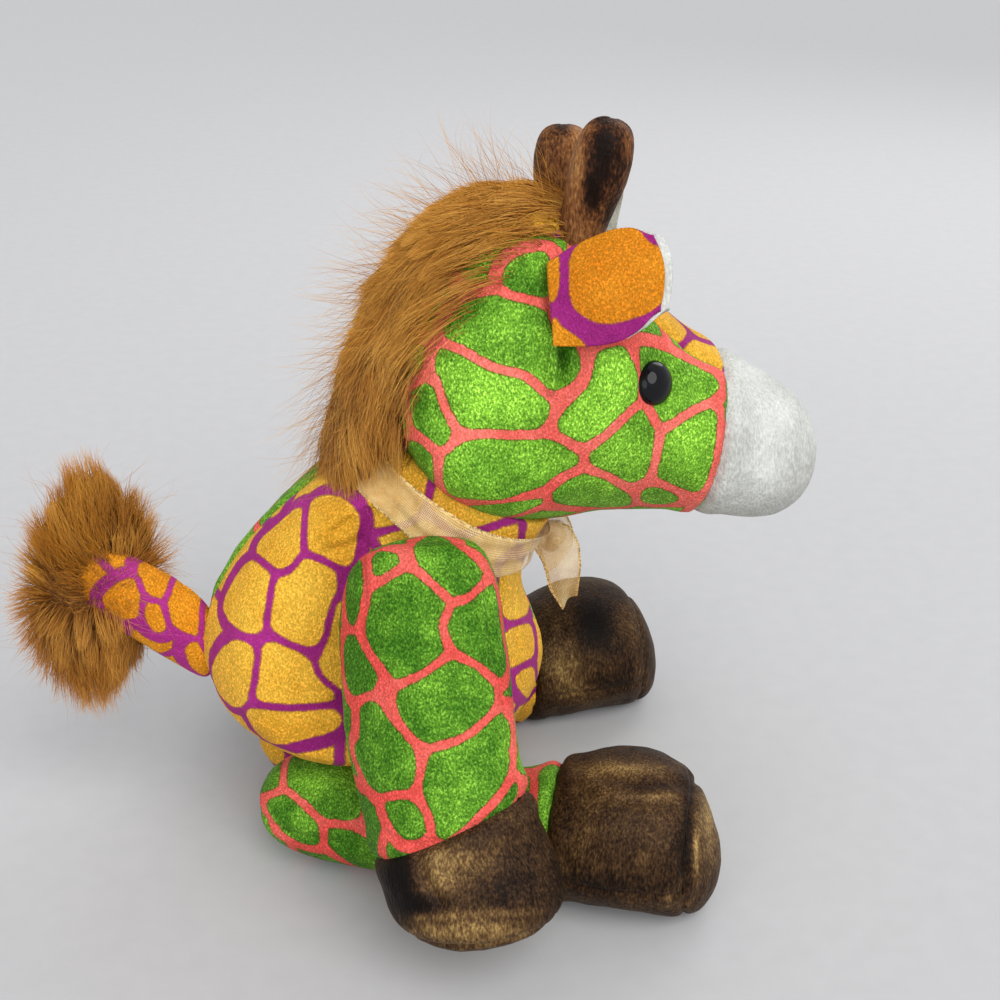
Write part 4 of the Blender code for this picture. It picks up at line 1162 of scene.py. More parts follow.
EAR_ROOT = (0.0245, 0.0234, 0.1340)
EAR_TILT = math.radians(30)
EAR_TURN = math.radians(14)
EAR_RISE = math.radians(12)
EAR_LENGTH = 0.0230
EAR_WIDTH = 0.0215
EAR_WIDTHS = (0.76, 0.90, 1.00, 1.02, 0.94, 0.66)
EAR_BOW = 4.2 * MM
EAR_CURL = 1.2 * MM
EAR_TIP = 1.5 * MM
EAR_STEPS = 64
EAR_PATCHES = (
    ((568, 259), (580, 240), (600, 225), (625, 222), (641, 231), (650, 244), (672, 250), (676, 290),
     (652, 312), (636, 318), (620, 322), (602, 325), (588, 320), (576, 311), (570, 300), (569, 280)),
    ((535, 240), (560, 250), (560, 290), (553, 305), (535, 300)),
    ((553, 312), (562, 327), (582, 339), (590, 352), (545, 352)),
)


def ear_directions(side):
    """An ear's directions: along it, up across it, and out of its bowl."""
    up = Vector((0, -math.sin(EAR_TILT) * side, math.cos(EAR_TILT)))
    forward = Vector((math.cos(EAR_TURN), math.sin(EAR_TURN) * side, 0))
    forward = (forward - up * forward.dot(up)).normalized()
    out = up.cross(forward) * side
    return Matrix.Rotation(-EAR_RISE * side, 3, out) @ forward, up, out


def ear_sheet(side, longer, narrower, inset):
    """The outer face of an ear's cloth, as rows of points from its root to its tip."""
    forward, up, out = ear_directions(side)
    shares = np.linspace(0, 1, EAR_STEPS)
    widths = np.interp(shares, np.linspace(0, 1, len(EAR_WIDTHS)), EAR_WIDTHS)
    widths = np.convolve(np.pad(widths, 4, mode="edge"), np.ones(9) / 9, "valid")
    points = []
    for share, width in zip(shares, widths):
        half = EAR_WIDTH / 2 * width - narrower
        depth = EAR_BOW * (0.4 + 0.6 * math.sin(math.pi * share))
        reach = EAR_LENGTH * share + 0.6 * MM + longer * share
        for way in np.linspace(-1, 1, EAR_STEPS):
            along = forward * (reach - EAR_TIP * way * way * share ** 3)
            outward = out * (depth * (1 - way * way) - inset + EAR_CURL * way ** 4 * share)
            points.append(tuple(on_side(EAR_ROOT, side) + along + up * half * way + outward))
    points = np.array(points)
    return points + noise_vectors(points, 7 * MM, 61 + side) * 0.35 * MM


def thickened(points, out, thick):
    """The points and faces of a square sheet of cloth, closed by a copy behind it and a rim."""
    index, quads = grid_quads(EAR_STEPS, EAR_STEPS)
    size = len(points)
    loop = np.concatenate([index[0, :], index[1:, -1], index[-1, -2::-1], index[-2:0:-1, 0]])
    after = np.roll(loop, -1)
    rim = np.stack([loop, after, after + size, loop + size], 1)
    facing = surface(quad_mesh(points, quads))[1]
    if facing.mean(0) @ np.array(out) < 0:
        quads = quads[:, ::-1]
        facing = surface(quad_mesh(points, quads))[1]
    else:
        rim = rim[:, ::-1]
    faces = np.concatenate([quads, quads[:, ::-1] + size, rim])
    return np.concatenate([points, points - facing * thick]), faces


def make_ear(side, name):
    out = ear_directions(side)[2]
    points, faces = thickened(ear_sheet(side, 0, 0, 0), out, 1.1 * MM)
    patches = EAR_PATCHES if side < 0 else ()
    mesh = quad_mesh(points, faces)
    fields = patch_fields(mesh, patches, 15 * MM, 2.2 * MM, 71 + side, around=3 * MM, grow=0.1)
    outer = quad_mesh(points, faces, fields)
    add_piece("ear_outer_cloth_" + name, outer, "ear_" + name, ORANGE, "ear_outer_" + name)
    points, faces = thickened(ear_sheet(side, 1.7 * MM, 0.3 * MM, 1.15 * MM), out, 1.7 * MM)
    lining = quad_mesh(points, faces, {"nap_and_light": nap_and_light_field(points, (), 81 + side, 4 * MM) + 0.2})
    add_piece("ear_lining_cloth_" + name, lining, "ear_" + name, WHITE, "ear_lining_" + name)


# Limbs

ARM_RINGS = (
    (-0.09, -0.14, 0.06, 0.40, 0.80),
    (0.11, -0.12, 0.09, 0.515, 1.04),
    (0.40, 0.30, 0.13, 0.530, 0.99),
    (0.62, 0.56, 0.115, 0.490, 1.08),
    (0.80, 0.78, 0, 0.540, 1.34),
    (0.94, 0.94, -0.03, 0.530, 1.30),
    (1.005, 1.00, -0.03, 0.36, 0.86),
)
ARM_CAP = 0.36
ARM_TIP = 1.045
ARM_SEAM = 0.680
ARM_SEAM_SLANT = math.radians(20)
ARM_SOLE = 0.965
ARM_GAP_MM = 0.6
ARM_PATCHES = (
    ((385, 530), (395, 520), (412, 520), (418, 527), (405, 535), (395, 541), (382, 540)),
    ((375, 553), (390, 552), (398, 560), (390, 570), (380, 575), (374, 570)),
    ((415, 548), (425, 538), (437, 534), (465, 557), (480, 570), (482, 580), (475, 590), (465, 597),
     (450, 592), (437, 583), (425, 570)),
    ((372, 600), (385, 585), (400, 575), (415, 577), (430, 587), (442, 600), (442, 610), (437, 620),
     (437, 635), (442, 650), (437, 660), (425, 670), (410, 677), (397, 678), (388, 667), (375, 655),
     (367, 640), (365, 620)),
    ((450, 620), (460, 607), (475, 595), (488, 585), (495, 590), (500, 635), (505, 655), (505, 670),
     (497, 677), (470, 657), (458, 645), (450, 632)),
    ((397, 692), (425, 675), (440, 665), (455, 663), (472, 665), (485, 675), (492, 690), (492, 705),
     (485, 717), (470, 730), (455, 740), (440, 743), (425, 740), (412, 728), (402, 715)),
    ((362, 702), (375, 703), (385, 720), (408, 745), (413, 760), (412, 780), (405, 788), (378, 792),
     (368, 780), (360, 765), (355, 748), (362, 740)),
    ((500, 712), (507, 725), (508, 750), (507, 770), (500, 790), (475, 815), (462, 830), (450, 837),
     (440, 838), (437, 825), (430, 805), (425, 790), (428, 770), (435, 752), (450, 745), (465, 740),
     (480, 730)),
    ((385, 803), (398, 800), (412, 805), (422, 815), (425, 828), (418, 837), (405, 838), (395, 825)),
    ((515, 780), (517, 795), (505, 810), (490, 825), (470, 838), (455, 842), (485, 820), (510, 790)),
    ((345, 640), (355, 635), (362, 650), (377, 675), (370, 690), (358, 695), (350, 690), (345, 670)),
    ((350, 560), (360, 558), (360, 620), (350, 625), (346, 600)),
)
# The arm hoof's painted shade bands and painted sheen, with a lighter sole.
ARM_SPOTS = (
    (398, 878, 15, 32, -1.25), (420, 905, 24, 10, -0.95), (442, 876, 26, 28, 0.55),
    (450, 856, 30, 8, 0.25), (480, 866, 22, 14, 0.20), (515, 885, 40, 24, -0.40),
    (535, 845, 20, 24, -0.10), (525, 815, 12, 16, 0.05), (470, 932, 90, 13, 0.55),
    (440, 917, 40, 5, 0.35), (500, 912, 50, 4, 0.30), (563, 870, 8, 40, -0.35),
)
# Spots of painted light and shade on the arm's skin.
ARM_LIGHTS = (
    (405, 625, 30, 40, -0.05), (358, 660, 12, 130, -0.25), (385, 750, 24, 50, -0.10),
    (410, 560, 40, 30, 0.25), (400, 818, 20, 16, -0.15), (475, 790, 30, 30, -0.05),
)
# Spots of painted light and shade on the leg's skin.
LEG_LIGHTS = ((320, 780, 60, 26, 0.50), (290, 825, 40, 16, 0.20), (552, 800, 16, 50, 0.10))
LEG_RADIUS = 0.0136
LEG_RINGS = (
    (-0.115, 0.66), (0.02, 1.02), (0.42, 0.93), (0.600, 1.04), (0.72, 1.33), (0.90, 1.30), (0.975, 0.84),
)
LEG_SINK = 0.0005
LEG_HIP = (-0.0265, 0.0150, LEG_RADIUS - LEG_SINK)
LEG_CAP = 1.02
LEG_TIP = 1.030
LEG_LIES = {-1: (0.0920, math.radians(-18.5), 0), 1: (0.0950, math.radians(17), 0.0060)}
LEG_SEAM = 0.605
LEG_SOLE = 0.935
LEG_CLOTHS = {-1: GREEN, 1: YELLOW}
LEG_PATCHES = (
    ((285, 770), (292, 755), (310, 748), (350, 745), (352, 765), (362, 810), (350, 820), (330, 818),
     (315, 808), (300, 795), (287, 785)),
    ((255, 775), (265, 755), (280, 748), (285, 752), (280, 785), (268, 795), (257, 790)),
    ((265, 800), (278, 793), (295, 800), (318, 828), (320, 842), (305, 843), (290, 835), (275, 820)),
    ((327, 830), (340, 828), (375, 845), (382, 855), (380, 870), (360, 868), (345, 858), (330, 845)),
    ((505, 750), (550, 750), (562, 755), (525, 762)),
    ((540, 770), (550, 763), (562, 768), (560, 830), (557, 850), (545, 835), (540, 810)),
    ((517, 770), (525, 775), (530, 790), (522, 795)),
)
# The leg hoof's painted shade in its folds and low down, and painted sheen.
LEG_SPOTS = (
    (625, 768, 50, 8, 0.55), (655, 797, 26, 4, 0.40), (650, 785, 30, 5, -0.25), (590, 775, 20, 14, 0.15),
    (585, 830, 16, 26, 0.12), (630, 830, 36, 22, -0.05), (620, 885, 62, 14, -0.35),
    (688, 815, 5, 50, -0.50), (680, 850, 8, 30, -0.35), (696, 850, 4, 26, 0.75), (709, 810, 9, 54, 0.60),
    (700, 765, 12, 14, 0.25), (566, 800, 5, 50, -0.25),
)
ARM_CREASES = (
    (((363, 562), (364, 600), (363, 640)), 0.6, 0.9),
    (((387, 560), (380, 590), (372, 612)), 0.3, 1.6),
    (((470, 845), (505, 822), (535, 800)), 0.5, 1.2),
    (((415, 850), (425, 880), (440, 905)), 0.8, 1.3),
    (((388, 835), (405, 842), (440, 843)), 0.5, 1.0),
)
LEG_CREASES = (
    (((686, 752), (694, 790), (690, 830), (682, 866)), 0.5, 1.0),
    (((600, 775), (640, 782), (678, 784)), 0.5, 1.6),
    (((625, 800), (655, 803), (680, 800)), 0.4, 1.2),
    (((352, 748), (358, 780), (368, 812)), 0.5, 2.0),
    (((285, 750), (281, 780), (290, 800)), 0.4, 1.2),
)
# The hidden leg hoof's painted shade and painted sheen.
HOOF_SPOTS = (
    (595, 625, 18, 24, -1.05), (562, 668, 22, 22, 0.55), (575, 690, 20, 10, 0.3), (636, 625, 12, 34, 0.1),
    (620, 685, 20, 12, -0.4), (610, 590, 20, 8, -0.2), (545, 640, 8, 20, -0.2),
)
UNSEEN = ((), (), (), ())
FLOOR_PLANE = (Vector((0, 0, 0)), UP)
# Painted shade: the limbs' skins are darkened overall.
LIMB_SHADE = -0.33
HOOF_NAP = -0.15


def make_limb(name, form, cloth, marks, seed, rest):
    """A limb's skin, hoof and sole, all on the outer side of the plane that the limb rests against."""
    mesh, seam, sole, side_seam = form
    patches, spots, creases, lights = marks
    marked(mesh, [seam, sole])
    points, facing = surface(mesh)
    centres = face_centres(mesh)
    points = lumps(points, facing, seed)
    points = seam_press(points, facing, side_seam, 0.5 * MM, 0.6 * MM, 0.2 * MM, past(points, sole) < 0)
    points = seam_press(points, facing, seam, 1.0 * MM, 0.8 * MM, 0.5 * MM)
    points = seam_press(points, facing, sole, 0.6 * MM, 0.6 * MM, 0.25 * MM)
    points = creased(points, facing, mesh, creases)
    points = points - np.array(rest[1]) * np.minimum(past(points, rest), 0)[:, None]
    move_to(mesh, points)
    spacing, line = (16.5 * MM, 2.2 * MM) if cloth is GREEN else (13.5 * MM, 1.7 * MM)
    printed = patch_fields(mesh, patches, spacing, line, seed + 1, spots=lights, nap_and_light=LIMB_SHADE)
    brown = {"nap_and_light": nap_and_light_field(points, spots, seed + 2, base=HOOF_NAP)}
    beyond, under = past(centres, seam) > 0, past(centres, sole) > 0
    for part, keep, fields, own_cloth in (
        ("skin", ~beyond, printed, cloth),
        ("hoof", beyond & ~under, brown, BROWN),
        ("sole", under, brown, BROWN),
    ):
        node = f"{name}_{part}"
        add_piece(node + "_cloth", panel(mesh, keep, fields), name, own_cloth, node)


def arm_form(side, levels=LEVELS):
    """An arm's mesh, with the planes of its hoof's seam, its sole and its side seam."""
    place, axis = shoulder(side)
    swing = ARM_SWINGS[side]
    root = place + axis * ARM_DEPTH / 2
    reach = Vector((swing, ARM_SPREAD * side, -ARM_DROP))
    down = reach.normalized()
    wide = down.cross(axis).normalized()
    deep = wide.cross(down).normalized()
    rings = []
    for share, spread, back, width, depth in ARM_RINGS:
        centre = root + Vector((swing * share, ARM_SPREAD * spread * side, -ARM_DROP * share))
        centre = centre - wide * ARM_WIDTH * back * side
        rings.append((centre, wide * ARM_WIDTH * width, deep * ARM_DEPTH / 2 * depth))
    top, tip = root - down * ARM_DEPTH * ARM_CAP, root + reach * ARM_TIP
    mesh = smooth_form(rings, top, tip, SLIM_SIDES, levels)
    slant = Matrix.Rotation(-ARM_SEAM_SLANT * side, 3, axis)
    return mesh, (root + reach * ARM_SEAM, slant @ down), (root + reach * ARM_SOLE, down), (root, deep)


def arm_rest(side):
    """The plane that an arm rests against, just outside the shoulder."""
    place, axis = shoulder(side)
    return place + axis * ARM_GAP_MM * MM, axis


def make_arm(side, name):
    marks = (ARM_PATCHES, ARM_SPOTS, ARM_CREASES, ARM_LIGHTS) if side < 0 else UNSEEN
    make_limb("arm_" + name, arm_form(side), GREEN, marks, 101 + side * 10, arm_rest(side))


def leg_form(side, levels=LEVELS):
    """A leg's mesh, with the planes of its hoof's seam, its sole and its side seam."""
    reach, splay, bow = LEG_LIES[side]
    hip = on_side(LEG_HIP, side)
    ahead = Vector((math.cos(splay), math.sin(splay), 0))
    aside = Vector((-ahead.y, ahead.x, 0))

    def along(share):
        return hip + ahead * reach * share + aside * bow * math.sin(math.pi * share)

    rings = []
    for share, size in LEG_RINGS:
        radius = LEG_RADIUS * size
        step = ahead * reach + aside * bow * math.pi * math.cos(math.pi * share)
        centre = along(share)
        centre.z = radius - LEG_SINK if share > 0 else hip.z
        rings.append((centre, Vector((-step.y, step.x, 0)).normalized() * radius, UP * radius))
    tip = along(LEG_TIP)
    tip.z = rings[-1][0].z
    mesh = smooth_form(rings, hip - ahead * LEG_RADIUS * LEG_CAP, tip, SLIM_SIDES, levels)
    seam = (along(LEG_SEAM), (along(LEG_SEAM + 0.01) - along(LEG_SEAM)).normalized())
    sole = (along(LEG_SOLE), (along(1) - along(LEG_SOLE)).normalized())
    return mesh, seam, sole, (hip, UP)


def make_leg(side, name):
    marks = (LEG_PATCHES, LEG_SPOTS, LEG_CREASES, LEG_LIGHTS) if side < 0 else ((), HOOF_SPOTS, (), ())
    make_limb("leg_" + name, leg_form(side), LEG_CLOTHS[side], marks, 131 + side * 10, FLOOR_PLANE)


# Tail

TAIL_PATCHES = (
    ((104, 600), (112, 590), (125, 582), (135, 580), (138, 600), (137, 615), (125, 618), (110, 612)),
    ((140, 565), (150, 562), (165, 568), (172, 575), (168, 590), (160, 598), (148, 590), (141, 578)),
    ((145, 607), (155, 604), (163, 612), (165, 625), (160, 632), (150, 625)),
    ((173, 580), (183, 578), (195, 585), (199, 595), (200, 635), (190, 632), (168, 620), (170, 600)),
    ((204, 605), (215, 608), (220, 618), (218, 640), (212, 655), (205, 645)),
    ((187, 648), (195, 643), (203, 650), (208, 662), (207, 675), (198, 672), (190, 662)),
)
TAIL_PIVOT = Vector((-0.0527, 0, 0.0520))
TAIL_LENGTH = 0.0240
TAIL_RISE = math.radians(41)
TAIL_RINGS = (
    (-0.22, 0.56, 0.55), (0.05, 0.56, 0.55), (0.50, 0.46, 0.50), (1.00, 0.38, 0.45), (1.15, 0.24, 0.30),
)
TAIL_ROOT = 0.0070
TAIL_TIP = 1.20
TAIL_BACK = Vector((-math.cos(TAIL_RISE), 0, math.sin(TAIL_RISE)))
TAIL_THICKNESS = 0.0080
TAIL_HEIGHT = 0.0195


def tail_mesh(levels=LEVELS):
    rings = []
    for share, height, thickness in TAIL_RINGS:
        turn = TAIL_RISE * min(max(share, 0) * 2, 1)
        up = Vector((math.sin(turn), 0, math.cos(turn)))
        centre = TAIL_PIVOT + TAIL_BACK * TAIL_LENGTH * share
        rings.append((centre, ASIDE * (TAIL_THICKNESS * thickness), up * TAIL_HEIGHT * height))
    start, tip = TAIL_PIVOT + AHEAD * TAIL_ROOT, TAIL_PIVOT + TAIL_BACK * TAIL_LENGTH * TAIL_TIP
    return smooth_form(rings, start, tip, SLIM_SIDES, levels)


def make_tail():
    mesh = tail_mesh(LEVELS - 1)
    points, facing = surface(mesh)
    points = lumps(points, facing, 91, 0.25 * MM, 0.08 * MM)
    points = seam_press(points, facing, BODY_MIDDLE, 0.4 * MM, 0.5 * MM, 0.1 * MM)
    move_to(mesh, points)
    fields = patch_fields(mesh, TAIL_PATCHES, 10 * MM, 1.6 * MM, 92, around=3.5 * MM, nap_and_light=0.3)
    add_piece("tail_cloth", reshaped(mesh, points, fields), "tail", ORANGE, "tail_skin")


# Fur

LOCK = 4.5 * MM
FINE_LOCK = 3.5 * MM
STRAND_STEPS = 6
MOST_STRANDS = 4500


def unit(vectors):
    return vectors / np.maximum(np.linalg.norm(vectors, axis=-1, keepdims=True), 1e-9)


def gathered(points, roots, clump, clump_size, rng):
    """Draws the strands together in locks, and returns how closely each one's lock is drawn."""
    cell = np.floor((roots + noise_vectors(roots, 5 * MM, 3) * 1.5 * MM) / clump_size).astype(np.int64)
    group = np.unique(cell, axis=0, return_inverse=True)[1].ravel()
    totals = np.bincount(group)
    lock = rng.uniform(0, 1, len(totals))[group]
    for step, way in enumerate(np.linspace(0, 1, points.shape[1])):
        centres = [np.bincount(group, points[:, step, axis]) / totals for axis in range(3)]
        pull = (lock * clump * way ** 1.3)[:, None]
        points[:, step] = points[:, step] * (1 - pull) + np.stack(centres, 1)[group] * pull
    return lock


def strands(roots, facing, flow, lengths, width, rng, lift, droop, clump, wild, clump_size=FINE_LOCK):
    """Tapered strands. Each leaves along its facing, turns into the flow and droops."""
    count = len(roots)
    own = noise_vectors(roots, clump_size * 1.4, 7) * 0.75 + rng.normal(0, wild, (count, 3)) * 0.5
    bend = rng.normal(0, wild, (count, 3))
    points = [roots]
    for step in range(STRAND_STEPS):
        way = (step + 0.5) / STRAND_STEPS
        turn = min(way * 2.2, 1)
        heading = facing * lift * (1 - turn) + flow * (0.35 + turn) + own * way + bend * way * way * 0.8
        heading = unit(heading)
        heading[:, 2] -= droop * way
        points.append(points[-1] + unit(heading) * (lengths / STRAND_STEPS)[:, None])
    points = np.stack(points, 1)
    lock = gathered(points, roots, clump, clump_size, rng)
    tone = 0.27 + 0.45 * lock + 0.28 * rng.normal(size=count) + 0.45 * noise(roots, 5 * MM, 13)
    return points, np.clip(tone, 0, 1), width * rng.uniform(0.7, 1.25, count)


def strand_mesh(points, tone, width):
    """Three-sided strands, thin toward the tip."""
    count, nodes, _ = points.shape
    along = np.diff(points, axis=1)
    along = unit(np.concatenate([along, along[:, -1:]], 1))
    helper = np.where(np.abs(along[..., 2:3]) < 0.9, np.array(UP), np.array(AHEAD))
    across = unit(np.cross(along, helper))
    other = np.cross(along, across)
    ways = np.linspace(0, 1, nodes)
    radius = width[:, None] / 2 * np.maximum(1 - ways ** 2.2, 0.08)[None]
    rings = []
    for corner in range(3):
        angle = math.tau * corner / 3
        rings.append(points + (across * math.cos(angle) + other * math.sin(angle)) * radius[..., None])
    index = np.arange(count * nodes * 3).reshape(count, nodes, 3)
    low, high = index[:, :-1], index[:, 1:]
    quads = np.stack([low, np.roll(low, -1, 2), np.roll(high, -1, 2), high], -1).reshape(-1, 4)
    fields = {
        "along": np.broadcast_to(ways[None, :, None], index.shape).ravel(),
        "tone": np.broadcast_to(tone[:, None, None], index.shape).ravel(),
    }
    return quad_mesh(np.stack(rings, 2).reshape(-1, 3), quads, fields)


def fur_pieces(name, body, sets):
    """All the strands, in pieces of no more than a fixed number."""
    points, tone, width = (np.concatenate(parts) for parts in zip(*sets))
    for index, start in enumerate(range(0, len(points), MOST_STRANDS)):
        part = slice(start, start + MOST_STRANDS)
        add_piece(f"{name}_{index + 1}", strand_mesh(points[part], tone[part], width[part]), body, FUR)


def fur_core(name, mesh, body, node, reach, size):
    """The dark, felted middle that the strands grow from."""
    points, facing = surface(mesh)
    points = pushed(points, facing, reach * noise(points, size, 2))
    add_piece(name, reshaped(mesh, points), body, CORE, node)


def scattered(mesh, count, rng, weight=None):
    """Random points over a mesh, with their normals."""
    mesh.calc_loop_triangles()
    triangles = read(mesh.loop_triangles, "vertices", 3)
    points, facing = surface(mesh)
    corner = points[triangles]
    one_side, other_side = corner[:, 1] - corner[:, 0], corner[:, 2] - corner[:, 0]
    area = np.linalg.norm(np.cross(one_side, other_side), axis=1)
    if weight is not None:
        area = area * weight(corner.mean(1), facing[triangles].mean(1))
    picks = rng.choice(len(triangles), count, p=area / area.sum())
    one, two = rng.random(count), rng.random(count)
    flip = one + two > 1
    one[flip], two[flip] = 1 - one[flip], 1 - two[flip]
    place = corner[picks, 0] + one_side[picks] * one[:, None] + other_side[picks] * two[:, None]
    return place, unit(facing[triangles[picks]].mean(1))


MANE_PATH = (
    (0.360, 0.975, 0.30, 0.40),
    (0.220, 0.970, 0.70, 0.75),
    (0.120, 0.835, 0.95, 0.95),
    (0.040, 0.660, 1.00, 1.02),
    (-0.022, 0.480, 1.00, 1.10),
    (-0.082, 0.290, 0.85, 0.95),
)
MANE_WIDTH = 0.0300
MANE_DEPTH = 0.0160
MANE_STRANDS = 17000
MANE_EDGE_STRANDS = 4200
MANE_LOOSE_STRANDS = 700


def mane_mesh(wide=1.0, deep=1.0):
    centres = [head_place(along, rise) for along, rise, _, _ in MANE_PATH]
    rings = []
    last = len(centres) - 1
    for index, (_, _, width, depth) in enumerate(MANE_PATH):
        ahead = (centres[min(index + 1, last)] - centres[max(index - 1, 0)]).normalized()
        out = ASIDE.cross(ahead).normalized()
        halves = ASIDE * (MANE_WIDTH / 2 * width * wide), out * MANE_DEPTH / 2 * depth * deep
        rings.append((centres[index], *halves))
    start = centres[0] + (centres[0] - centres[1]) * 0.25
    end = centres[-1] + (centres[-1] - centres[-2]) * 0.50 * deep
    return smooth_form(rings, start, end, SLIM_SIDES, CORE_LEVELS)


HEAD_MIDDLE = np.array((HEAD_REAR_X + HEAD_LENGTH * 0.35, 0, HEAD_BASE_Z + HEAD_HEIGHT * 0.54))


def mane_flow(roots, aside):
    """Which way the mane lies: back over the crown, then down the nape, parting to both sides."""
    away = roots - HEAD_MIDDLE
    away[:, 1] *= 0.3
    away = unit(away)
    back = np.stack([-away[:, 2], np.zeros(len(roots)), away[:, 0]], 1)
    low = np.clip((0.118 - roots[:, 2]) / 0.03, 0, 1)[:, None]
    flow = unit(back * (1 - 0.55 * low) + np.array([-0.10, 0, -0.9]) * low * 0.7 + away * 0.20)
    part = np.zeros_like(roots)
    part[:, 1] = np.sign(roots[:, 1]) * np.clip(np.abs(roots[:, 1]) / (8 * MM), 0, 1) * aside
    return unit(flow + part)


def off_the_head(place, facing):
    """More mane where its core faces away from the head."""
    away = np.einsum("ij,ij->i", unit(place - HEAD_MIDDLE), facing)
    return np.clip(away + 0.55, 0.02, 1)


def make_mane(head):
    rng = np.random.default_rng(7)
    core = mane_mesh(0.86, 0.55)
    fur_core("mane_core", core, "head", "mane", 0.5 * MM, 3 * MM)
    count = int(MANE_STRANDS * FUR_SHARE)
    roots, facing = scattered(core, count, rng, off_the_head)
    lengths = rng.uniform(0.007, 0.018, count) * np.clip(1.1 - (roots[:, 2] - 0.12) / 0.06, 0.6, 1)
    flow = mane_flow(roots, 0.25)
    sets = [strands(roots, facing, flow, lengths, 0.15 * MM, rng, 0.70, 0.30, 0.85, 0.60, LOCK)]
    nearby = tree_of(mane_mesh())

    def beside(place, _):
        share = np.zeros(len(place))
        for index in np.flatnonzero((place[:, 0] < 0.045) & (place[:, 2] > 0.088)):
            hit = nearby.find_nearest(place[index], 0.012)
            if hit[0] is not None:
                reach = 10 * MM if place[index, 2] > 0.128 else 7.5 * MM
                share[index] = max(0.0, 1 - hit[3] / reach) ** 0.5
        return share

    count = int(MANE_EDGE_STRANDS * FUR_SHARE)
    roots, facing = scattered(head, count, rng, beside)
    lengths = rng.uniform(0.008, 0.016, count)
    flow = mane_flow(roots, 0.10)
    sets.append(strands(roots, facing, flow, lengths, 0.14 * MM, rng, 0.85, 0.25, 0.7, 0.45))
    count = int(MANE_LOOSE_STRANDS * FUR_SHARE)
    roots, facing = scattered(core, count, rng, off_the_head)
    flow = unit(roots - HEAD_MIDDLE) + mane_flow(roots, 0) * 0.5 + rng.normal(0, 0.35, (count, 3))
    lengths = rng.uniform(0.010, 0.022, count)
    sets.append(strands(roots, facing, unit(flow), lengths, 0.08 * MM, rng, 1.0, 0.10, 0.0, 0.6))
    fur_pieces("mane_fur", "head", sets)


TUFT = Vector((-0.0735, 0.0070, 0.0620))
TUFT_LENGTH = 0.0305
TUFT_WIDTH = 0.0240
TUFT_HEIGHT = 0.0600
TUFT_STRANDS = 12000
TUFT_LOOSE_STRANDS = 240
TUFT_RINGS = (
    (-0.46, -0.08, 0.20), (-0.26, -0.03, 0.46), (0.00, 0.00, 0.54), (0.24, 0.03, 0.42), (0.44, 0.10, 0.14),
)


def tuft_mesh(thin):
    rings = []
    for rise, shift, size in TUFT_RINGS:
        centre = TUFT + Vector((TUFT_LENGTH * shift, 0, TUFT_HEIGHT * rise * thin))
        rings.append((centre, AHEAD * (TUFT_LENGTH * size * thin), ASIDE * (TUFT_WIDTH * size * thin)))
    cap = UP * (TUFT_HEIGHT * 0.06 * thin)
    return smooth_form(rings, rings[0][0] - cap, rings[-1][0] + cap, SLIM_SIDES, CORE_LEVELS)


def make_tuft():
    rng = np.random.default_rng(9)
    core = tuft_mesh(0.70)
    fur_core("tuft_core", core, "tail", "tail_tuft", 0.8 * MM, 4 * MM)
    count = int(TUFT_STRANDS * FUR_SHARE)
    roots, facing = scattered(core, count, rng)
    out = unit(roots - np.array(TUFT))
    flow = out * np.array([0.40, 0.40, 2.2]) + np.array([-0.15, 0, 0.10])
    flow = unit(flow + noise_vectors(roots, 9 * MM, 4) * 0.45)
    lengths = rng.uniform(0.006, 0.012, count) * (1 + 0.45 * np.abs(out[:, 2]) ** 2)
    sets = [strands(roots, facing, flow, lengths, 0.14 * MM, rng, 0.40, 0.10, 0.8, 0.55, LOCK)]
    count = int(TUFT_LOOSE_STRANDS * FUR_SHARE)
    roots, facing = scattered(core, count, rng)
    flow = unit(facing + rng.normal(0, 0.5, (count, 3)))
    lengths = rng.uniform(0.012, 0.020, count)
    sets.append(strands(roots, facing, flow, lengths, 0.08 * MM, rng, 1.0, 0.0, 0.0, 0.7))
    # The tuft's strands are darkened by 0.35: painted shade.
    fur_pieces("tuft_fur", "tail", [(points, tone - 0.35, width) for points, tone, width in sets])


# Ribbon

RIBBON_LEVELS = 4
RIBBON_WIDTH = 0.0100
RIBBON_COLUMNS = 13
GATHERED_WIDTH = 0.0085
BAND_LOW = -0.0058
BAND_RISE = 0.0084
BAND_STEPS = 120
BAND_RADIUS = 0.0285
OUTSIDE = 0.08


def uv_from(mesh, places):
    mesh.uv_layers.new(name="UVMap").data.foreach_set("uv", places.ravel())


def sheet_area(grid):
    corner, diagonal = grid[:-1, :-1], grid[1:, 1:] - grid[:-1, :-1]
    halves = np.cross(grid[1:, :-1] - corner, diagonal), np.cross(diagonal, grid[:-1, 1:] - corner)
    return sum(np.linalg.norm(half, axis=2).sum() for half in halves) / 2


def ribbon_piece(name, grid, node, width):
    """A strip of ribbon over a grid."""
    rows, columns, _ = grid.shape
    quads = grid_quads(rows, columns)[1]
    way = np.linspace(-1, 1, columns)
    gold = np.broadcast_to((np.abs(way) > 0.90).astype(float), (rows, columns)).ravel()
    mesh = quad_mesh(grid.reshape(-1, 3), quads, {"gold": gold})
    steps = np.linalg.norm(np.diff(grid[:, columns // 2], axis=0), axis=1)
    lengths = np.concatenate([[0], np.cumsum(steps)]) / MM
    places = np.stack(np.broadcast_arrays(way * 5, lengths[:, None]), -1).reshape(-1, 2)
    uv_from(mesh, places[quads.ravel()])
    piece = add_piece(name, mesh, "torso", SHEER, node)
    sheet_area(grid) / width


def band_headings(steps):
    """Steps all round the neck, each with its angle and direction."""
    for step in range(steps):
        angle = math.tau * step / BAND_STEPS
        yield step, angle, NECK_FRONT * math.cos(angle) + ASIDE * math.sin(angle)


def band_centre(index):
    return NECK_CENTRE + NECK_AXIS * (BAND_LOW + BAND_RISE * index / (RIBBON_COLUMNS - 1))


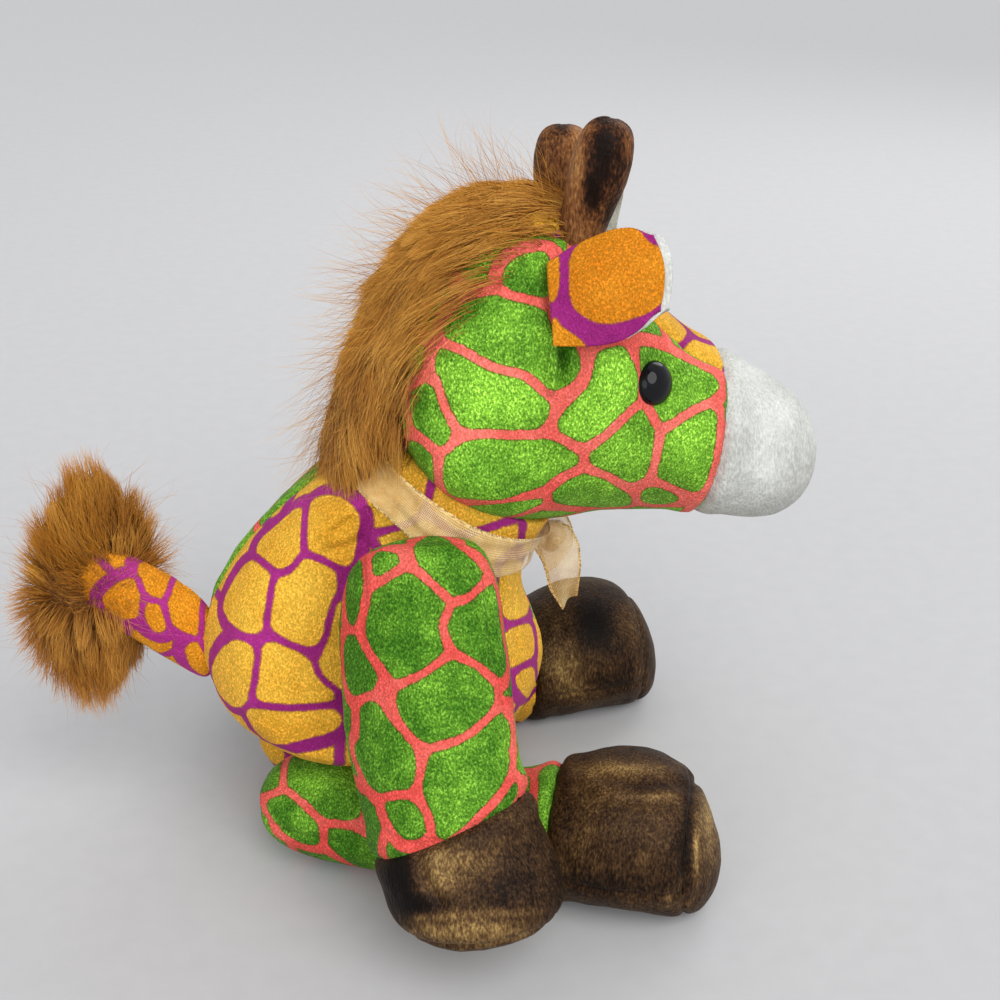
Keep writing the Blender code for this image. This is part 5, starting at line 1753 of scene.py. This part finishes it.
def band_reach(trees):
    """How far the body and the arms reach from the neck's axis, evened out as a taut ribbon is."""
    reach = np.zeros((BAND_STEPS, RIBBON_COLUMNS))
    for step, _, heading in band_headings(BAND_STEPS):
        for index in range(RIBBON_COLUMNS):
            centre = band_centre(index)
            for tree in trees:
                hit = tree.ray_cast(centre + heading * OUTSIDE, -heading)
                if hit[0] is not None:
                    found = min((hit[0] - centre).length, BAND_RADIUS)
                    reach[step, index] = max(reach[step, index], found)
    for _ in range(3):
        around = sum(np.roll(reach, shift, 0) for shift in range(-4, 5)) / 9
        padded = np.pad(around, ((0, 0), (1, 1)), mode="edge")
        evened = (padded[:, :-2] + padded[:, 1:-1] + padded[:, 2:]) / 3
        reach = np.maximum(evened, reach * 0.5 + around * 0.5)
    return reach


def make_band(trees):
    reach = band_reach(trees)
    grid = np.zeros((BAND_STEPS + 1, RIBBON_COLUMNS, 3))
    for step, angle, heading in band_headings(BAND_STEPS + 1):
        for index in range(RIBBON_COLUMNS):
            way = index / (RIBBON_COLUMNS - 1)
            fold = 0.40 * MM * math.sin(way * math.pi * 5 + math.sin(angle * 3) * 1.2)
            fold += 0.3 * MM * math.sin(angle * 7 + way * 4)
            away = reach[step % BAND_STEPS, index] + 1.0 * MM + fold
            grid[step, index] = band_centre(index) + heading * away
    ribbon_piece("ribbon_band_cloth", grid, "ribbon_band", GATHERED_WIDTH)


KNOT_RINGS = ((-0.40, 0.34), (0.00, 0.54), (0.40, 0.34))
KNOT_SIZE = Vector((0.0058, 0.0085, 0.0080))
KNOT_REACH = 0.0043
KNOT_GAP_MM = 5.0


def make_knot(body):
    hit = body.ray_cast(NECK_CENTRE - NECK_AXIS * 1.0 * MM + NECK_FRONT * OUTSIDE, -NECK_FRONT)
    place = hit[0] + NECK_FRONT * KNOT_GAP_MM * MM
    rings = []
    for share, size in KNOT_RINGS:
        halves = NECK_FRONT * KNOT_SIZE.x * size, NECK_AXIS * KNOT_SIZE.z * size
        rings.append((place + ASIDE * KNOT_SIZE.y * share, *halves))
    right, left = place - ASIDE * KNOT_REACH, place + ASIDE * KNOT_REACH
    mesh = smooth_form(rings, right, left, SLIM_SIDES, RIBBON_LEVELS)
    points, facing = surface(mesh)
    wrap = np.sin(past(points, (place, NECK_AXIS)) / (0.55 * MM) + 2 * noise(points, 3 * MM, 3))
    points = pushed(points, facing, 0.22 * MM * wrap)
    knot = reshaped(mesh, points, {"gold": np.zeros(len(points))})
    corners = points[read(knot.loops, "vertex_index")]
    uv_from(knot, np.stack([corners[:, 1], corners @ np.array(NECK_AXIS)], 1) / MM)
    add_piece("ribbon_knot_cloth", knot, "torso", SHEER, "ribbon_knot")


RIBBON_EDGE_BACK = ((524, 534), (533, 548), (540, 566), (548, 588), (560, 608))
RIBBON_EDGE_FRONT = ((534, 520), (566, 524), (583, 542), (583, 568), (578, 596))
END_STEPS = 56
END_OUT = Vector((0.35, -1, 0.1)).normalized()
END_SHARES = {-1: 1.0, 1: 0.82}


def along_line(line, way):
    """A point part of the way along a smooth line of pixels."""
    points = np.array(line, float)
    place = way * (len(points) - 1)
    index = min(int(place), len(points) - 2)
    part = place - index
    picks = (max(index - 1, 0), index, index + 1, min(index + 2, len(points) - 1))
    before, one, other, after = (points[pick] for pick in picks)
    bend = (2 * before - 5 * one + 4 * other - after) * part ** 2
    twist = (3 * one - before - 3 * other + after) * part ** 3
    return 0.5 * (2 * one + (other - before) * part + bend + twist)


def at_distance_aside(pixel, aside):
    """The point that a pixel shows on an upright plane, that far to the toy's side."""
    ray = sight(*pixel)
    return VIEW_FROM + ray * ((aside - VIEW_FROM.y) / ray.y)


def make_ribbon_end(side, name):
    """One free end: a gathered root at the knot, opening into a soft curl with a folded tip."""
    grid = np.zeros((END_STEPS + 1, RIBBON_COLUMNS, 3))
    for step in range(END_STEPS + 1):
        way = step / END_STEPS
        shown = way * END_SHARES[side]
        back = at_distance_aside(along_line(RIBBON_EDGE_BACK, shown), (-1.5 - 2.5 * way) * MM)
        front = at_distance_aside(along_line(RIBBON_EDGE_FRONT, shown), (-2.5 - 4.5 * way) * MM)
        across = front - back
        half = min(across.length / 2, RIBBON_WIDTH / 2)
        across.normalize()
        for index in range(RIBBON_COLUMNS):
            place = 2 * index / (RIBBON_COLUMNS - 1) - 1
            pleat = 0.8 * MM * math.sin(place * 7.5) * max(0.0, 1 - way * 2.2)
            pleat += 1.3 * MM * math.sin(place * 2.2 + way * 4.0) * way
            spot = (front + back) / 2 + across * half * place + END_OUT * pleat
            grid[step, index] = (spot.x, -spot.y * side, spot.z)
    node = "ribbon_end_" + name
    ribbon_piece("ribbon_end_cloth_" + name, grid, node, RIBBON_WIDTH)


# What the skins hold

POUCH_TOP = 0.0440
POUCH_GAP = 0.5 * MM
SKIN_GAP = 2.4 * MM


def filled(name, mesh, planes, body, node, cloth=FILLING, inset=SKIN_GAP):
    """A filling that follows its skin, a little inside it, cut off beyond each plane."""
    points, facing = surface(mesh)
    move_to(mesh, points - facing * inset + facing * (0.35 * MM * noise(points, 4 * MM, 3))[:, None])
    bm = bmesh.new()
    bm.from_mesh(mesh)
    for plane in planes:
        bisect(bm, plane, 0.01 * MM, clear_outer=True)
        bmesh.ops.holes_fill(bm, edges=[edge for edge in bm.edges if edge.is_boundary], sides=0)
    bm.to_mesh(mesh)
    bm.free()
    mesh.shade_smooth()
    add_piece(name, mesh, body, cloth, node)


def make_fillings():
    inner_neck = (NECK_SEAM - NECK_AXIS * 0.8 * MM, NECK_AXIS)
    inner_head = (NECK_SEAM + NECK_AXIS * 0.8 * MM, -NECK_AXIS)
    over_pouch = (UP * (POUCH_TOP + POUCH_GAP), -UP)
    filled("body_fibre", body_mesh(CORE_LEVELS), [inner_neck, over_pouch], "torso", "body_filling")
    filled("seat_pouch", body_mesh(CORE_LEVELS), [(UP * POUCH_TOP, UP)], "torso", "seat_bean_pouch", POUCH)
    filled("head_fibre", head_mesh(CORE_LEVELS), [inner_head], "head", "head_filling", inset=2.8 * MM)
    for side, name in SIDES:
        place, axis = arm_rest(side)
        arm, leg = arm_form(side, CORE_LEVELS)[0], leg_form(side, CORE_LEVELS)[0]
        inner = (place + axis * 1.4 * MM, -axis)
        filled("arm_fibre_" + name, arm, [inner], "arm_" + name, f"arm_{name}_filling")
        filled("leg_fibre_" + name, leg, [(UP * (1.5 * MM), -UP)], "leg_" + name, f"leg_{name}_filling")
    filled("tail_fibre", tail_mesh(CORE_LEVELS), [], "tail", "tail_filling", inset=1.6 * MM)


# Stage

FLOOR_SIZE = 30
FLOOR_GAP = 0.2 * MM
LIGHT_TARGET = Vector((0, 0, 0.08))


def make_stage():
    bpy.ops.mesh.primitive_plane_add(size=FLOOR_SIZE, location=(0, 0, -FLOOR_GAP))
    floor = bpy.context.object
    floor.name = "floor"
    look = Look("pale_floor")
    shades = (0.3, (0.452, 0.448, 0.448)), (0.7, (0.468, 0.464, 0.464))
    look.set(Base_Color=look.ramp(look.grain(6 * MM, 3), shades), Roughness=0.9)
    floor.data.materials.append(look.material)
    world = bpy.data.worlds.new("studio")
    bpy.context.scene.world = world
    world.use_nodes = True
    background = world.node_tree.nodes["Background"]
    background.inputs["Color"].default_value = (0.93, 0.95, 1.0, 1)
    background.inputs["Strength"].default_value = 0.75
    add_light("key", "SUN", (0.30, -0.75, 0.85), 2.4, angle=0.9)
    add_light("rim", "AREA", (0.45, 0.55, 0.55), 1.6, shape="DISK", size=0.5)
    add_light("fill", "AREA", (-0.45, -0.70, 0.30), 1.6, shape="DISK", size=0.6)


def add_light(name, kind, place, power, **settings):
    lamp = bpy.data.lights.new(name, kind)
    lamp.energy = power
    for setting, value in settings.items():
        setattr(lamp, setting, value)
    light = bpy.data.objects.new(name, lamp)
    bpy.context.scene.collection.objects.link(light)
    light.location = place
    light.rotation_euler = (LIGHT_TARGET - Vector(place)).to_track_quat("-Z", "Y").to_euler()


make_stage()
make_body()
head_form = make_head()
make_eyes()
for make in (make_horn, make_ear, make_arm, make_leg):
    for side, name in SIDES:
        make(side, name)
make_tail()
make_mane(head_form)
make_tuft()
under_ribbon = [tree_of(body_mesh(RIBBON_LEVELS))]
under_ribbon += [tree_of(arm_form(side, RIBBON_LEVELS)[0]) for side, _ in SIDES]
make_band(under_ribbon)
make_knot(under_ribbon[0])
for side, name in SIDES:
    make_ribbon_end(side, name)
make_fillings()
